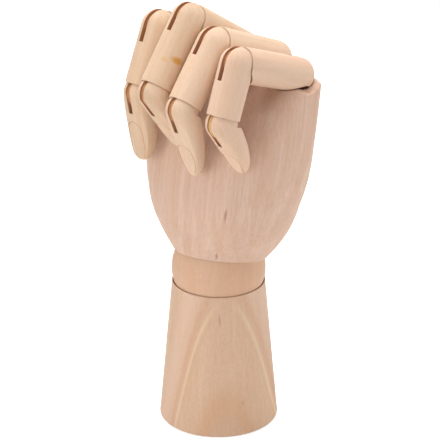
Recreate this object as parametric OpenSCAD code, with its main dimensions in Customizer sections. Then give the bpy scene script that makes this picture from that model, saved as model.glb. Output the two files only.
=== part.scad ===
// Wooden hand mannequin: a left hand on a turned base, fingers curled into a loose fist.
// +Z is up, the origin is the middle of the base's flat underside, the palm faces -Y
// and the thumb is on the -X side. All sizes are millimetres.

/* [Base] */
// Height of the turned base
base_h = 73.5; // [65:0.5:85]
// Diameter of the base at the table
base_foot_d = 59; // [54:0.5:64]
// Diameter of the base at its upper rim
base_top_d = 46; // [45.5:0.5:50]
// Eased edge round the foot
base_ease = 0.8; // [0.3:0.1:1.5]

/* [Wrist] */
// Diameter of the wooden ball
ball_d = 46.4; // [45:0.2:47]
// Height of the ball's middle above the base's rim
ball_rise = 6.5; // [5:0.5:9]
// Radial gap between the ball and its two seats
ball_gap = 0.25; // [0.2:0.05:0.5]
// Diameter of the hole through the ball
ball_bore_d = 23; // [22:0.5:26]
// Backward lean of the hand, degrees
lean_back = 12.9; // [0:0.1:18]
// Sideways lean of the hand towards the thumb, degrees
lean_side = 6.2; // [0:0.1:10]

/* [Spring] */
// Mean diameter of the spring's coil
spring_d = 9; // [8:0.5:10]
// Diameter of the spring wire
wire_d = 1.5; // [1:0.1:1.6]
// Number of turns
spring_turns = 18; // [8:1:20]
// Diameter of the two cross pins that hold the spring
cross_pin_d = 3.2; // [2.5:0.1:4]
// Height of the lower cross pin above the table
base_pin_z = 28; // [24:1:34]
// Height of the upper cross pin above the ball's middle
palm_pin_z = 27; // [26:0.5:30]
// Diameter of the spring's chamber in the base and in the palm
chamber_d = 19; // [18:0.5:21]

/* [Palm] */
// Height of the palm's lower rim above the ball's middle
palm_rim_z = 6.8; // [6:0.1:9]
// Radius of the palm's lower rim
palm_rim_r = 22.6; // [22:0.1:24]
// Reach of the palm to the little-finger side
palm_little_side = 44; // [42:0.5:48]
// Reach of the palm to the thumb side
palm_thumb_side = 42; // [38:0.5:43]
// Reach of the palm's heel to the front
palm_front = 28.5; // [26:0.5:30]
// Reach of the palm to the back
palm_back = 21.5; // [21:0.5:24]
// Height of the knuckle arch above the ball's middle
arch_z = 102.6; // [101:0.1:104]
// Radius of the knuckle arch
arch_r = 105; // [95:1:130]
// Height of the lip behind the knuckles
lip_h = 3.8; // [2:0.1:5]

/* [Fingers] */
// Spacing of the fingers
finger_pitch = 18.9; // [18.7:0.1:20]
// Middle of the finger row, towards the little finger
finger_row_x = 5; // [3:0.5:6]
// Knuckle pivots, forward or back of the ball's middle: index, middle, ring, little
knuckle_y = [8, 8, 8.5, 7]; // [6:0.5:9]
// Knuckle pivots, height above the ball's middle
knuckle_z = [104.1, 106.4, 106.4, 101.6]; // [100:0.1:108]
// Proximal phalanx, pivot to pivot
proximal_len = [43.5, 43, 40, 39.5]; // [36:0.5:46]
// Middle phalanx, pivot to pivot
middle_len = [33, 39, 35, 29]; // [27:0.5:42]
// Distal phalanx, pivot to tip
distal_len = [34, 32, 34.5, 29.5]; // [27:0.5:38]
// Bluntness of the fingertips
tip_blunt = [4.2, 2.6, 2.7, 2.2]; // [2:0.1:4.6]
// Radius of the proximal head
proximal_r = [8.8, 8.8, 8.8, 8.5]; // [8:0.1:9]
// Radius of the middle head
middle_r = [8.6, 8.6, 8.6, 8.3]; // [7.8:0.1:8.8]
// Radius of the distal head
distal_r = [7.9, 8, 7.9, 7.7]; // [7.4:0.1:8.4]
// Flexion of the knuckle joint, degrees from straight
flex_1 = [74.8, 68.8, 80.2, 82.2]; // [0:0.1:90]
// Flexion of the middle joint, degrees
flex_2 = [91.4, 86.1, 73.3, 86.8]; // [0:0.1:92]
// Flexion of the end joint, degrees
flex_3 = [25, 63, 48.8, 48]; // [0:0.1:66]

/* [Thumb] */
// Thumb root pivot, side, front-back and height from the ball's middle
thumb_root = [-47.5, 7, 33]; // [-50:0.5:40]
// Outward lean of the thumb, degrees
thumb_lean = 9; // [8:0.5:14]
// Metacarpal, pivot to pivot
thumb_metacarpal_len = 30; // [28:0.5:34]
// Proximal phalanx, pivot to pivot
thumb_proximal_len = 26; // [24:0.5:30]
// Distal phalanx, pivot to tip
thumb_distal_len = 27; // [24:0.5:30]
// Head radii of the three thumb pieces
thumb_r = [9.5, 8.9, 8.4]; // [8:0.1:10]

/* [Joints] */
// Gap between a domed head and its cup
cup_gap = 0.3; // [0.2:0.05:0.5]
// Gap between a finger's body and its trough in the palm
trough_gap = 0.5; // [0.4:0.05:0.8]
// How far a cup's rim lies behind the pivot on a finger
rim_back = 3; // [2.6:0.1:4]
// How far a cup's rim lies below the pivot on the palm
seat_back = 4; // [3.5:0.1:5]
// How far a finger end stands out past the head that it carries
rim_step = 0.4; // [0.2:0.1:0.6]
// Thickness of the wooden tongues
tongue_t = 2.4; // [2:0.1:2.8]
// Width of a tongue in its mortise
tongue_w = 9; // [7:0.5:10]
// Radius of a tongue's round end
tongue_r = 7; // [6.6:0.1:7]
// Depth of a tongue in its mortise
tongue_in = 9; // [7:0.5:10]
// Extra width of the slot that a tongue swings in
slot_gap = 0.4; // [0.2:0.1:0.6]
// Reach of the slot past the pivot
slot_past = 9.4; // [7.4:0.1:9.6]
// Diameter of the pivot pins
pin_d = 2; // [1.6:0.1:2.4]
// Angle that a knuckle can close further than in the pose shown
knuckle_close = 3; // [1:0.5:5]
// Wood left over the blind end of a pivot hole
pin_cover = 2.2; // [1.5:0.1:3]
// Distance of the relief's floor from the pivot
relief_floor = 2.2; // [1.9:0.1:2.4]
// Distance of the relief's wall from the pivot
relief_wall = 9.5; // [9.4:0.1:10.5]
// Fold of the thumb's middle joint at its limit
thumb_fold = 80; // [60:1:90]
// Angle that a folded middle joint can close further than in the pose shown
fold_close = 3; // [2:0.5:6]

/* [Hidden] */
$fn = 64;

INDEX = 0;
MIDDLE = 1;
RING = 2;
LITTLE = 3;
beech = "#e0bfa2";
beech_pale = "#e8cdb0";
beech_warm = "#d6ae8f";
steel = "#b9bcc0";

ball_r = ball_d / 2;
seat_r = ball_r + ball_gap;
ball_z = base_h + ball_rise;
press_gap = 0.01;
running_gap = 0.05;
pin_end_gap = 0.2;
pin_recess = 0.4;
over = 1;

// ---------------------------------------------------------------- placing

// The hand's own frame: origin at the ball's middle, +Z along the palm
module in_palm() {
    translate([0, 0, ball_z])
        rotate([-lean_back, 0, 0])
            rotate([0, -lean_side, 0])
                children();
}

function knuckle(f) = [finger_row_x + (f - 1.5) * finger_pitch, knuckle_y[f], knuckle_z[f]];

module at_joint_1(f) {
    in_palm() translate(knuckle(f)) rotate([flex_1[f], 0, 0]) children();
}

module at_joint_2(f) {
    at_joint_1(f) translate([0, 0, proximal_len[f]]) rotate([flex_2[f], 0, 0]) children();
}

module at_joint_3(f) {
    at_joint_2(f) translate([0, 0, middle_len[f]]) rotate([flex_3[f], 0, 0]) children();
}

// The thumb's root hinge runs front to back, its other two hinges run like the fingers'
module at_thumb_root() {
    in_palm() translate(thumb_root) rotate([0, -thumb_lean, 0]) children();
}

module at_thumb_2() {
    at_thumb_root() translate([0, 0, thumb_metacarpal_len]) children();
}

module at_thumb_3() {
    at_thumb_2() translate([0, 0, thumb_proximal_len]) children();
}

module quarter_turn() {
    rotate([0, 0, -90]) children();
}

// ---------------------------------------------------------------- joint shapes

module along_x(x1, x2, r) {
    translate([x1, 0, 0]) rotate([0, 90, 0]) cylinder(h = x2 - x1, r = r);
}

// Cup for the next head, cut out of a finger's end or out of the palm
module cup_cut(head_r) {
    sphere(r = head_r + cup_gap);
}

// Saw slot in a head, open to the dome and ending square past the pivot
module slot_cut(head_r) {
    slot_t = tongue_t + slot_gap;
    reach = head_r + over;
    translate([-slot_t / 2, -reach, -reach])
        cube([slot_t, 2 * reach, reach + slot_past]);
}

// Pocket that a tongue is glued into
module mortise_cut(rim) {
    play = 2 * running_gap;
    translate([-(tongue_t + play) / 2, -(tongue_w + play) / 2, -rim - tongue_in - pin_end_gap])
        cube([tongue_t + play, tongue_w + play, rim + tongue_in + pin_end_gap]);
}

// Blind hole for a pivot pin, drilled from the thumb side
module pivot_cut(head_r) {
    along_x(-head_r - over, head_r - pin_cover, pin_d / 2 + press_gap);
}

// Relief in a piece's body on the palm side of its head, so that the joint can close.
// The outline runs from the pivot outwards: distance to the palm side, distance along.
module relief_cut(head_r, outline) {
    far = head_r + 4;
    first = outline[0];
    last = outline[len(outline) - 1];
    rotate([90, 0, 90])
        linear_extrude(height = 2 * far, center = true)
            polygon(concat(
                [[-first[0], -far]],
                [for (p = outline) [-p[0], p[1]]],
                [[-far, last[1]], [-far, -far]]
            ));
}

// Closing to a right angle, where the thumb's root folds across its boss
fold_relief = [[relief_floor, relief_wall], [relief_floor + 4.3, relief_wall + 0.9],
    [relief_floor + 6.2, relief_wall + 2.6], [relief_floor + 9, relief_wall + 5.5]];
// Closing against the palm's sloping top
knuckle_relief = [[4.4, -0.7], [6.5, 3.6], [9.8, 12]];

// Mouth on the palm side of a phalanx's rim, where the next piece closes on it
module fold_mouth(next_r, fold) {
    rotate([fold + fold_close, 0, 0]) cylinder(h = 3 * next_r, r = next_r + trough_gap);
}

// Shallow relief round the palm side of an end joint's dome
module end_relief_cut(head_r) {
    floor_angle = 46;
    wall = head_r + 1.3;
    far = head_r + 4;
    rotate([90, 0, 90])
        linear_extrude(height = 2 * far, center = true)
            polygon([
                [0, 0],
                [-head_r * cos(floor_angle), head_r * sin(floor_angle)],
                [-wall * cos(floor_angle) - 0.8, wall * sin(floor_angle) + 0.6],
                [-far, wall * sin(floor_angle) + 0.8],
                [-far, 0]
            ]);
}

// ---------------------------------------------------------------- pieces of a finger

// A phalanx with a domed and slotted head at the origin and a cup at its far end
module phalanx(len, head_r, next_r) {
    difference() {
        union() {
            sphere(r = head_r);
            cylinder(h = len - rim_back, r1 = head_r, r2 = next_r + rim_step);
        }
        slot_cut(head_r);
        pivot_cut(head_r);
        translate([0, 0, len]) cup_cut(next_r);
        translate([0, 0, len]) mortise_cut(rim_back);
    }
}

// Outline of a fingertip: straight for a little way, then a rounded taper to a small flat
function tip_outline(len, head_r, blunt, straight, steps) = concat(
    [[0, 0], [head_r, 0]],
    [for (i = [0:steps])
        let (a = 84 * i / steps)
        [head_r * cos(a), straight + (len - straight) * pow(sin(a) / sin(84), 2 / blunt)]],
    [[0, len]]
);

// A distal phalanx with a straightened back and a nail set a little below it
module fingertip(len, head_r, blunt) {
    straight = 4;
    steps = 14;
    back_y = head_r - 0.5;
    back_slope = 8.3;
    back_r = 1.8 * head_r;
    nail_start = 0.5 * len;
    nail_w = 1.35 * head_r;
    nail_depth = 0.4;
    difference() {
        union() {
            sphere(r = head_r);
            difference() {
                rotate_extrude() polygon(tip_outline(len, head_r, blunt, straight, steps));
                end_relief_cut(head_r);
            }
        }
        translate([0, back_y, 0])
            rotate([back_slope, 0, 0])
                difference() {
                    translate([-back_r, -back_r, -2 * head_r]) cube([2 * back_r, 2 * back_r, len + 4 * head_r]);
                    translate([0, -back_r, -3 * head_r]) cylinder(h = len + 6 * head_r, r = back_r);
                }
        translate([0, back_y, 0])
            rotate([back_slope, 0, 0])
                difference() {
                    nail_prism(nail_w, nail_start, len, back_r);
                    translate([0, -back_r, 0]) cylinder(h = len + over, r = back_r - nail_depth);
                }
        slot_cut(head_r);
        pivot_cut(head_r);
    }
}

// The nail's outline, an arch open to the tip, as deep as the back's roundness needs
module nail_prism(nail_w, nail_start, len, back_r) {
    depth = back_r - sqrt(back_r * back_r - nail_w * nail_w / 4) + over;
    translate([0, -depth, nail_start + nail_w / 2])
        rotate([-90, 0, 0])
            cylinder(h = depth + over, d = nail_w);
    translate([-nail_w / 2, -depth, nail_start + nail_w / 2])
        cube([nail_w, depth + over, len - nail_start]);
}

// A tongue, with its round end on the pivot and its square end in the mortise below
module tongue(rim) {
    difference() {
        union() {
            along_x(-tongue_t / 2, tongue_t / 2, tongue_r);
            translate([-tongue_t / 2, -tongue_w / 2, -rim - tongue_in])
                cube([tongue_t, tongue_w, rim + tongue_in]);
        }
        along_x(-tongue_t, tongue_t, pin_d / 2 + running_gap);
    }
}

module pivot_pin(head_r) {
    along_x(-head_r + pin_recess, head_r - pin_cover - pin_end_gap, pin_d / 2);
}

// ---------------------------------------------------------------- base and wrist

module cross_pin_at(back_y, front_y, r) {
    translate([0, back_y, 0]) rotate([90, 0, 0]) cylinder(h = back_y + front_y, r = r);
}

function base_r(z) = base_foot_d / 2 + (base_top_d - base_foot_d) / 2 * z / base_h;
base_pin_back = base_r(base_pin_z) - 1;
base_pin_front = chamber_d / 2 + 7;

module forearm_base() {
    color(beech_warm)
    difference() {
        rotate_extrude()
            polygon([
                [0, 0],
                [base_foot_d / 2 - base_ease, 0],
                [base_r(base_ease), base_ease],
                [base_top_d / 2, base_h],
                [0, base_h]
            ]);
        translate([0, 0, ball_z]) sphere(r = seat_r);
        translate([0, 0, base_pin_z - spring_d]) cylinder(h = base_h, d = chamber_d);
        translate([0, 0, base_pin_z])
            cross_pin_at(base_foot_d, base_pin_front + pin_end_gap, cross_pin_d / 2 + press_gap);
    }
}

module base_cross_pin() {
    color(steel)
        translate([0, 0, base_pin_z]) cross_pin_at(base_pin_back, base_pin_front, cross_pin_d / 2);
}

module wrist_ball() {
    color(beech_warm)
    translate([0, 0, ball_z])
        rotate([-lean_back / 2, 0, 0])
            rotate([0, -lean_side / 2, 0])
                difference() {
                    sphere(r = ball_r);
                    translate([0, 0, -ball_d]) cylinder(h = 2 * ball_d, d = ball_bore_d);
                }
}

palm_pin_back = palm_back + 1;
palm_pin_front = chamber_d / 2 + 7;

module palm_cross_pin() {
    color(steel)
        in_palm() translate([0, 0, palm_pin_z])
            cross_pin_at(palm_pin_back, palm_pin_front, cross_pin_d / 2);
}

// ---------------------------------------------------------------- spring

coil_r = spring_d / 2;
wire_r = wire_d / 2;
hook_gap = 0.15;
hook_drop = coil_r - wire_r - cross_pin_d / 2 - hook_gap;
lead = 4;
bend_r = 2;
ring_sides = 6;
upper_pin = [
    -palm_pin_z * sin(lean_side),
    palm_pin_z * cos(lean_side) * sin(lean_back),
    ball_z + palm_pin_z * cos(lean_side) * cos(lean_back)
];
spring_vec = upper_pin - [0, 0, base_pin_z];
spring_len = norm(spring_vec);
low_loop = hook_drop;
high_loop = spring_len - hook_drop;
coil_z1 = low_loop + lead + bend_r;
coil_z2 = high_loop - lead - bend_r;
bend_turn = bend_r / coil_r * 180 / PI;
coil_turn = 360 * spring_turns - 2 * bend_turn;

function on_coil(angle, z) = [coil_r * cos(angle), coil_r * sin(angle), z];

// Centre line of the wire: hook, lead, bend, coil, bend, lead, hook
spring_path = concat(
    [for (a = [-200:20:-1]) [coil_r * cos(a), 0, low_loop + coil_r * sin(a)]],
    [[coil_r, 0, low_loop], [coil_r, 0, low_loop + lead / 2], [coil_r, 0, low_loop + lead]],
    [for (a = [22.5:22.5:67.5]) on_coil(bend_turn * (1 - cos(a)), low_loop + lead + bend_r * sin(a))],
    [for (i = [0:8 * spring_turns])
        on_coil(bend_turn + coil_turn * i / (8 * spring_turns),
                coil_z1 + (coil_z2 - coil_z1) * i / (8 * spring_turns))],
    [for (a = [67.5:-22.5:22.5])
        on_coil(coil_turn + bend_turn * (1 + cos(a)), high_loop - lead - bend_r * sin(a))],
    [[coil_r, 0, high_loop - lead], [coil_r, 0, high_loop - lead / 2], [coil_r, 0, high_loop]],
    [for (a = [20:20:200]) [coil_r * cos(a), 0, high_loop + coil_r * sin(a)]]
);

function unit(v) = v / norm(v);
function tangent(path, i) = unit(path[min(i + 1, len(path) - 1)] - path[max(i - 1, 0)]);
// Each ring's side direction is carried on from the ring before, square to the wire
function side_dirs(path, i = 0, prev = [0, 1, 0], out = []) =
    i == len(path) ? out
    : let (t = tangent(path, i), s = unit(prev - (prev * t) * t))
      side_dirs(path, i + 1, s, concat(out, [s]));

module wire(path, r, sides) {
    dirs = side_dirs(path);
    rings = len(path);
    points = [for (i = [0:rings - 1])
        let (t = tangent(path, i), s = dirs[i], b = cross(t, s))
        for (k = [0:sides - 1])
            path[i] + r * (cos(360 * k / sides) * s + sin(360 * k / sides) * b)];
    walls = [for (i = [0:rings - 2]) for (k = [0:sides - 1])
        let (a = i * sides + k, b = i * sides + (k + 1) % sides)
        each [[a, b, b + sides], [a, b + sides, a + sides]]];
    first = [for (k = [1:sides - 2]) [0, k + 1, k]];
    end = (rings - 1) * sides;
    last = [for (k = [1:sides - 2]) [end, end + k, end + k + 1]];
    polyhedron(points = points, faces = [for (f = concat(walls, first, last)) [f[0], f[2], f[1]]]);
}

least_gap = min([for (i = [0:len(spring_path) - 6]) for (j = [i + 5:len(spring_path) - 1])
    norm(spring_path[i] - spring_path[j])]) - wire_d;
echo(spring_least_gap = least_gap);

module wrist_spring() {
    color(steel)
    translate([0, 0, base_pin_z])
        rotate([-asin(spring_vec[1] / spring_len), 0, 0])
            rotate([0, atan2(spring_vec[0], norm([spring_vec[1], spring_vec[2]])), 0])
                wire(spring_path, wire_r, ring_sides);
}

// ---------------------------------------------------------------- palm

swell_z = 62;
front_z = 40;
function ease(z, top) = sin(90 * min(1, max(0, (z - palm_rim_z) / (top - palm_rim_z))));
function swell(z) = 1 - pow(1 - min(1, max(0, (z - palm_rim_z) / (85 - palm_rim_z))), 2.6);
function heel(z) = 1.5 * sin(180 * min(1, max(0, (z - palm_rim_z) / 30)));
function palm_right(z) = palm_rim_r + (palm_little_side - palm_rim_r) * swell(z) + heel(z);
function palm_left(z) = palm_rim_r
    + (palm_thumb_side - palm_rim_r) * swell(z) + heel(z)
    - 4 * max(0, z - 78) / 20;
// The heel swells to the front, and the upper palm rolls back under the knuckles
front_fall = [[40, 0], [52, 0.3], [62, 1.6], [70, 3.8], [78, 7.5], [84, 11.2], [89, 16.2], [93, 21], [97, 25.5], [106, 33]];
function palm_fore(z) = z < front_z
    ? palm_rim_r + (palm_front - palm_rim_r) * ease(z, front_z)
    : palm_front - lookup(z, front_fall);
function palm_rear(z) = palm_rim_r + (palm_back - palm_rim_r) * ease(z, swell_z)
    + 1.2 * sin(180 * min(1, (z - palm_rim_z) / swell_z));

function arc_points(cx, cy, rx, ry, from, steps) =
    [for (i = [0:steps]) [cx + rx * cos(from + 90 * i / steps), cy + ry * sin(from + 90 * i / steps)]];

// Cross-section of the palm: round at the wrist, boxy with round corners at the knuckles
module palm_slice(z) {
    box = ease(z, swell_z);
    right = palm_right(z);
    left = palm_left(z);
    fore = palm_fore(z);
    rear = palm_rear(z);
    rear_r = palm_rim_r * (1 - box) + 13.5 * box;
    fore_r = palm_rim_r * (1 - box) + 14.5 * box;
    round_l = min(fore_r, (fore + rear) / 2);
    round_x = palm_rim_r * (1 - box) + 38.5 * box;
    round_y = min(palm_rim_r * (1 - box) + 29.7 * box, fore + rear - rear_r);
    translate([0, 0, z])
        linear_extrude(height = 0.1)
            polygon(concat(
                arc_points(right - rear_r, rear - rear_r, rear_r, rear_r, 0, 6),
                arc_points(-left + rear_r, rear - rear_r, rear_r, rear_r, 90, 6),
                arc_points(-left + round_l, -fore + round_l, round_l, round_l, 180, 6),
                arc_points(right - round_x, -fore + round_y, round_x, round_y, 270, 9)
            ));
}

module palm_body() {
    hull() {
        for (z = [palm_rim_z, 9, 13, 20, 30, 41, 52, 62, 70, 78, 84, 89, 93, 97, 106])
            palm_slice(z);
    }
}

// Boss beside the heel that carries the thumb
module thumb_boss() {
    hull() {
        translate(thumb_root)
            rotate([0, -thumb_lean, 0])
                translate([0, 0, -seat_back - 1.5]) cylinder(h = 1.5, r = thumb_r[0] + 1, $fn = 32);
        translate([thumb_root[0] + 6, thumb_root[1], thumb_root[2] - 13]) sphere(r = 8, $fn = 24);
        translate([-16, 2, 22]) sphere(r = 12, $fn = 24);
        translate([-24, 4, 34]) sphere(r = 11, $fn = 24);
    }
}

lip_y = 15.2;
rise_y = 7;
rise_angle = atan(lip_h / (lip_y - rise_y));
lip_tilt = 23;
lip_edge_y = 19.3;
lip_edge_tilt = 52;
lip_edge_z = arch_z + lip_h - (lip_edge_y - lip_y) * tan(lip_tilt);

module palm() {
    color(beech)
    in_palm()
    difference() {
        union() {
            difference() {
                palm_body();
                // Knuckle arch, the rise up to the lip behind it, and the lip's own top
                arch_cut(arch_z, 0, -75, rise_y);
                arch_cut(arch_z, -rise_angle, 0, rise_y);
                arch_cut(arch_z + lip_h, lip_tilt, 0, lip_y);
                arch_cut(lip_edge_z, lip_edge_tilt, 0, lip_edge_y);
            }
            thumb_boss();
        }
        translate([0, 0, -palm_rim_z]) cube([4 * ball_d, 4 * ball_d, 4 * palm_rim_z], center = true);
        sphere(r = seat_r);
        cylinder(h = palm_pin_z + spring_d, d = chamber_d);
        translate([0, 0, palm_pin_z])
            cross_pin_at(3 * palm_back, palm_pin_front + pin_end_gap, cross_pin_d / 2 + press_gap);
        for (f = [INDEX:LITTLE]) {
            translate(knuckle(f)) cup_cut(proximal_r[f]);
            translate(knuckle(f)) mortise_cut(seat_back);
            translate(knuckle(f)) rotate([flex_1[f] + knuckle_close, 0, 0]) trough_cut(proximal_r[f]);
        }
        translate(thumb_root)
            rotate([0, -thumb_lean, 0]) {
                cup_cut(thumb_r[0]);
                cylinder(h = thumb_metacarpal_len, r = thumb_r[0] + trough_gap);
                quarter_turn() mortise_cut(seat_back);
            }
    }
}

// Room in the palm's top for a proximal phalanx and its sloping relief
module trough_cut(head_r) {
    difference() {
        cylinder(h = 3 * head_r, r = head_r + trough_gap);
        relief_cut(head_r, [for (p = knuckle_relief) [p[0] + cup_gap, p[1]]]);
    }
}

// Everything above an arch whose top is at the height given, falling away behind the line
// y by a tilt; length is how far the cut runs back, or forward if it is negative
module arch_cut(top, tilt, length, y) {
    reach = length == 0 ? 40 : -length;
    start = length == 0 ? -over : length;
    translate([0, y, top])
        rotate([-tilt, 0, 0])
            difference() {
                translate([-80, start, -40]) cube([160, reach + over, 80]);
                translate([1, start - over, -arch_r])
                    rotate([-90, 0, 0]) cylinder(h = reach + 3 * over, r = arch_r, $fn = 180);
            }
}

// ---------------------------------------------------------------- fingers

module finger_proximal(f) {
    color(beech_pale) at_joint_1(f)
    difference() {
        phalanx(proximal_len[f], proximal_r[f], middle_r[f]);
        relief_cut(proximal_r[f], knuckle_relief);
        translate([0, 0, proximal_len[f]]) fold_mouth(middle_r[f], flex_2[f]);
    }
}

module finger_middle(f) {
    color(beech_pale) at_joint_2(f) phalanx(middle_len[f], middle_r[f], distal_r[f]);
}

module finger_distal(f) {
    color(beech_pale) at_joint_3(f) fingertip(distal_len[f], distal_r[f], tip_blunt[f]);
}

// A tongue points along the piece that holds it, so it takes no flexion of its own joint
module finger_tongue(f, joint) {
    color(beech_warm) {
        if (joint == 1) in_palm() translate(knuckle(f)) tongue(seat_back);
        if (joint == 2) at_joint_1(f) translate([0, 0, proximal_len[f]]) tongue(rim_back);
        if (joint == 3) at_joint_2(f) translate([0, 0, middle_len[f]]) tongue(rim_back);
    }
}

module finger_pin(f, joint) {
    color(steel) {
        if (joint == 1) at_joint_1(f) pivot_pin(proximal_r[f]);
        if (joint == 2) at_joint_2(f) pivot_pin(middle_r[f]);
        if (joint == 3) at_joint_3(f) pivot_pin(distal_r[f]);
    }
}

// ---------------------------------------------------------------- thumb

module thumb_metacarpal() {
    len = thumb_metacarpal_len;
    color(beech_pale)
    at_thumb_root()
    difference() {
        union() {
            sphere(r = thumb_r[0]);
            cylinder(h = len - rim_back, r1 = thumb_r[0], r2 = thumb_r[1] + rim_step);
        }
        quarter_turn() relief_cut(thumb_r[0], fold_relief);
        quarter_turn() slot_cut(thumb_r[0]);
        quarter_turn() pivot_cut(thumb_r[0]);
        translate([0, 0, len]) cup_cut(thumb_r[1]);
        translate([0, 0, len]) mortise_cut(rim_back);
        translate([0, 0, len]) fold_mouth(thumb_r[1], thumb_fold);
    }
}

module thumb_proximal() {
    color(beech_pale) at_thumb_2() phalanx(thumb_proximal_len, thumb_r[1], thumb_r[2]);
}

module thumb_distal() {
    color(beech_pale) at_thumb_3() fingertip(thumb_distal_len, thumb_r[2], tip_blunt[INDEX]);
}

module thumb_tongue_1() {
    color(beech_warm) at_thumb_root() quarter_turn() tongue(seat_back);
}

module thumb_tongue_2() {
    color(beech_warm) at_thumb_2() tongue(rim_back);
}

module thumb_tongue_3() {
    color(beech_warm) at_thumb_3() tongue(rim_back);
}

module thumb_pin_1() {
    color(steel) at_thumb_root() quarter_turn() pivot_pin(thumb_r[0]);
}

module thumb_pin_2() {
    color(steel) at_thumb_2() pivot_pin(thumb_r[1]);
}

module thumb_pin_3() {
    color(steel) at_thumb_3() pivot_pin(thumb_r[2]);
}

forearm_base();
base_cross_pin();
wrist_spring();
wrist_ball();
palm();
palm_cross_pin();
finger_proximal(INDEX);  // index_proximal
finger_middle(INDEX);  // index_middle
finger_distal(INDEX);  // index_distal
finger_proximal(MIDDLE);  // middle_proximal
finger_middle(MIDDLE);  // middle_middle
finger_distal(MIDDLE);  // middle_distal
finger_proximal(RING);  // ring_proximal
finger_middle(RING);  // ring_middle
finger_distal(RING);  // ring_distal
finger_proximal(LITTLE);  // little_proximal
finger_middle(LITTLE);  // little_middle
finger_distal(LITTLE);  // little_distal
thumb_metacarpal();
thumb_proximal();
thumb_distal();
finger_tongue(INDEX, 1);  // index_tongue_1
finger_tongue(INDEX, 2);  // index_tongue_2
finger_tongue(INDEX, 3);  // index_tongue_3
finger_tongue(MIDDLE, 1);  // middle_tongue_1
finger_tongue(MIDDLE, 2);  // middle_tongue_2
finger_tongue(MIDDLE, 3);  // middle_tongue_3
finger_tongue(RING, 1);  // ring_tongue_1
finger_tongue(RING, 2);  // ring_tongue_2
finger_tongue(RING, 3);  // ring_tongue_3
finger_tongue(LITTLE, 1);  // little_tongue_1
finger_tongue(LITTLE, 2);  // little_tongue_2
finger_tongue(LITTLE, 3);  // little_tongue_3
thumb_tongue_1();
thumb_tongue_2();
thumb_tongue_3();
finger_pin(INDEX, 1);  // index_pin_1
finger_pin(INDEX, 2);  // index_pin_2
finger_pin(INDEX, 3);  // index_pin_3
finger_pin(MIDDLE, 1);  // middle_pin_1
finger_pin(MIDDLE, 2);  // middle_pin_2
finger_pin(MIDDLE, 3);  // middle_pin_3
finger_pin(RING, 1);  // ring_pin_1
finger_pin(RING, 2);  // ring_pin_2
finger_pin(RING, 3);  // ring_pin_3
finger_pin(LITTLE, 1);  // little_pin_1
finger_pin(LITTLE, 2);  // little_pin_2
finger_pin(LITTLE, 3);  // little_pin_3
thumb_pin_1();
thumb_pin_2();
thumb_pin_3();
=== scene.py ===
"""Wooden hand mannequin: the detailed pieces, their finishes, the lights and the camera.

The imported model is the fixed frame. Every wooden piece is rebuilt here as a finer mesh in
its own local frame, with the grain along the piece, and rides on the body of its solid.
"""

import logging
import math
from dataclasses import dataclass, field
from enum import Enum
from typing import Iterable, Sequence

import bmesh
import bpy
import numpy as np
from mathutils import Matrix, Vector


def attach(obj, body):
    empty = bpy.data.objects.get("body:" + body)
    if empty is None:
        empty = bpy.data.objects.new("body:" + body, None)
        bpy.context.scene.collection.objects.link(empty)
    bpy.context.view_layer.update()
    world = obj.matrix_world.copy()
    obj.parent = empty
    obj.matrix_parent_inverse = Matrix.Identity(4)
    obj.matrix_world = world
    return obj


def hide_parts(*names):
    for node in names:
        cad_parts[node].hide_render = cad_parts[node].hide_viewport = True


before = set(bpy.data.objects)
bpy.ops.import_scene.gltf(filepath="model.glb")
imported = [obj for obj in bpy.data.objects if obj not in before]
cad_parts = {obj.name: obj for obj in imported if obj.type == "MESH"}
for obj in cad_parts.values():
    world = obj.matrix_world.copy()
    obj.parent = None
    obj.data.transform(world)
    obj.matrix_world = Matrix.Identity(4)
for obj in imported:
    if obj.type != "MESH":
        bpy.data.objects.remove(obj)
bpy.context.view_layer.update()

LOG = logging.getLogger("hand_mannequin")
MM = 0.001
GRAIN = "grain_place"
# Turn about Z, in degrees, of the flat-sawn face that bears the base's arch and the flecks
FLAT_FACE = 50.66
# How much wider, in mm at each side, a hole is than its pin and a pocket than its tongue
HOLE_EASE = 0.01
POCKET_EASE = 0.05
POCKET_DEEPER = 0.2
# How far past the middle the cross pins' blind holes go, in mm
CROSS_PIN_IN = 16.7
Point = tuple[float, float]
Shape = tuple[np.ndarray, list[list[int]]]


# ------------------------------------------------------------------ sizes

class Finger(Enum):
    """The four fingers, in the order of the size lists."""

    INDEX = 0
    MIDDLE = 1
    RING = 2
    LITTLE = 3


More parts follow.
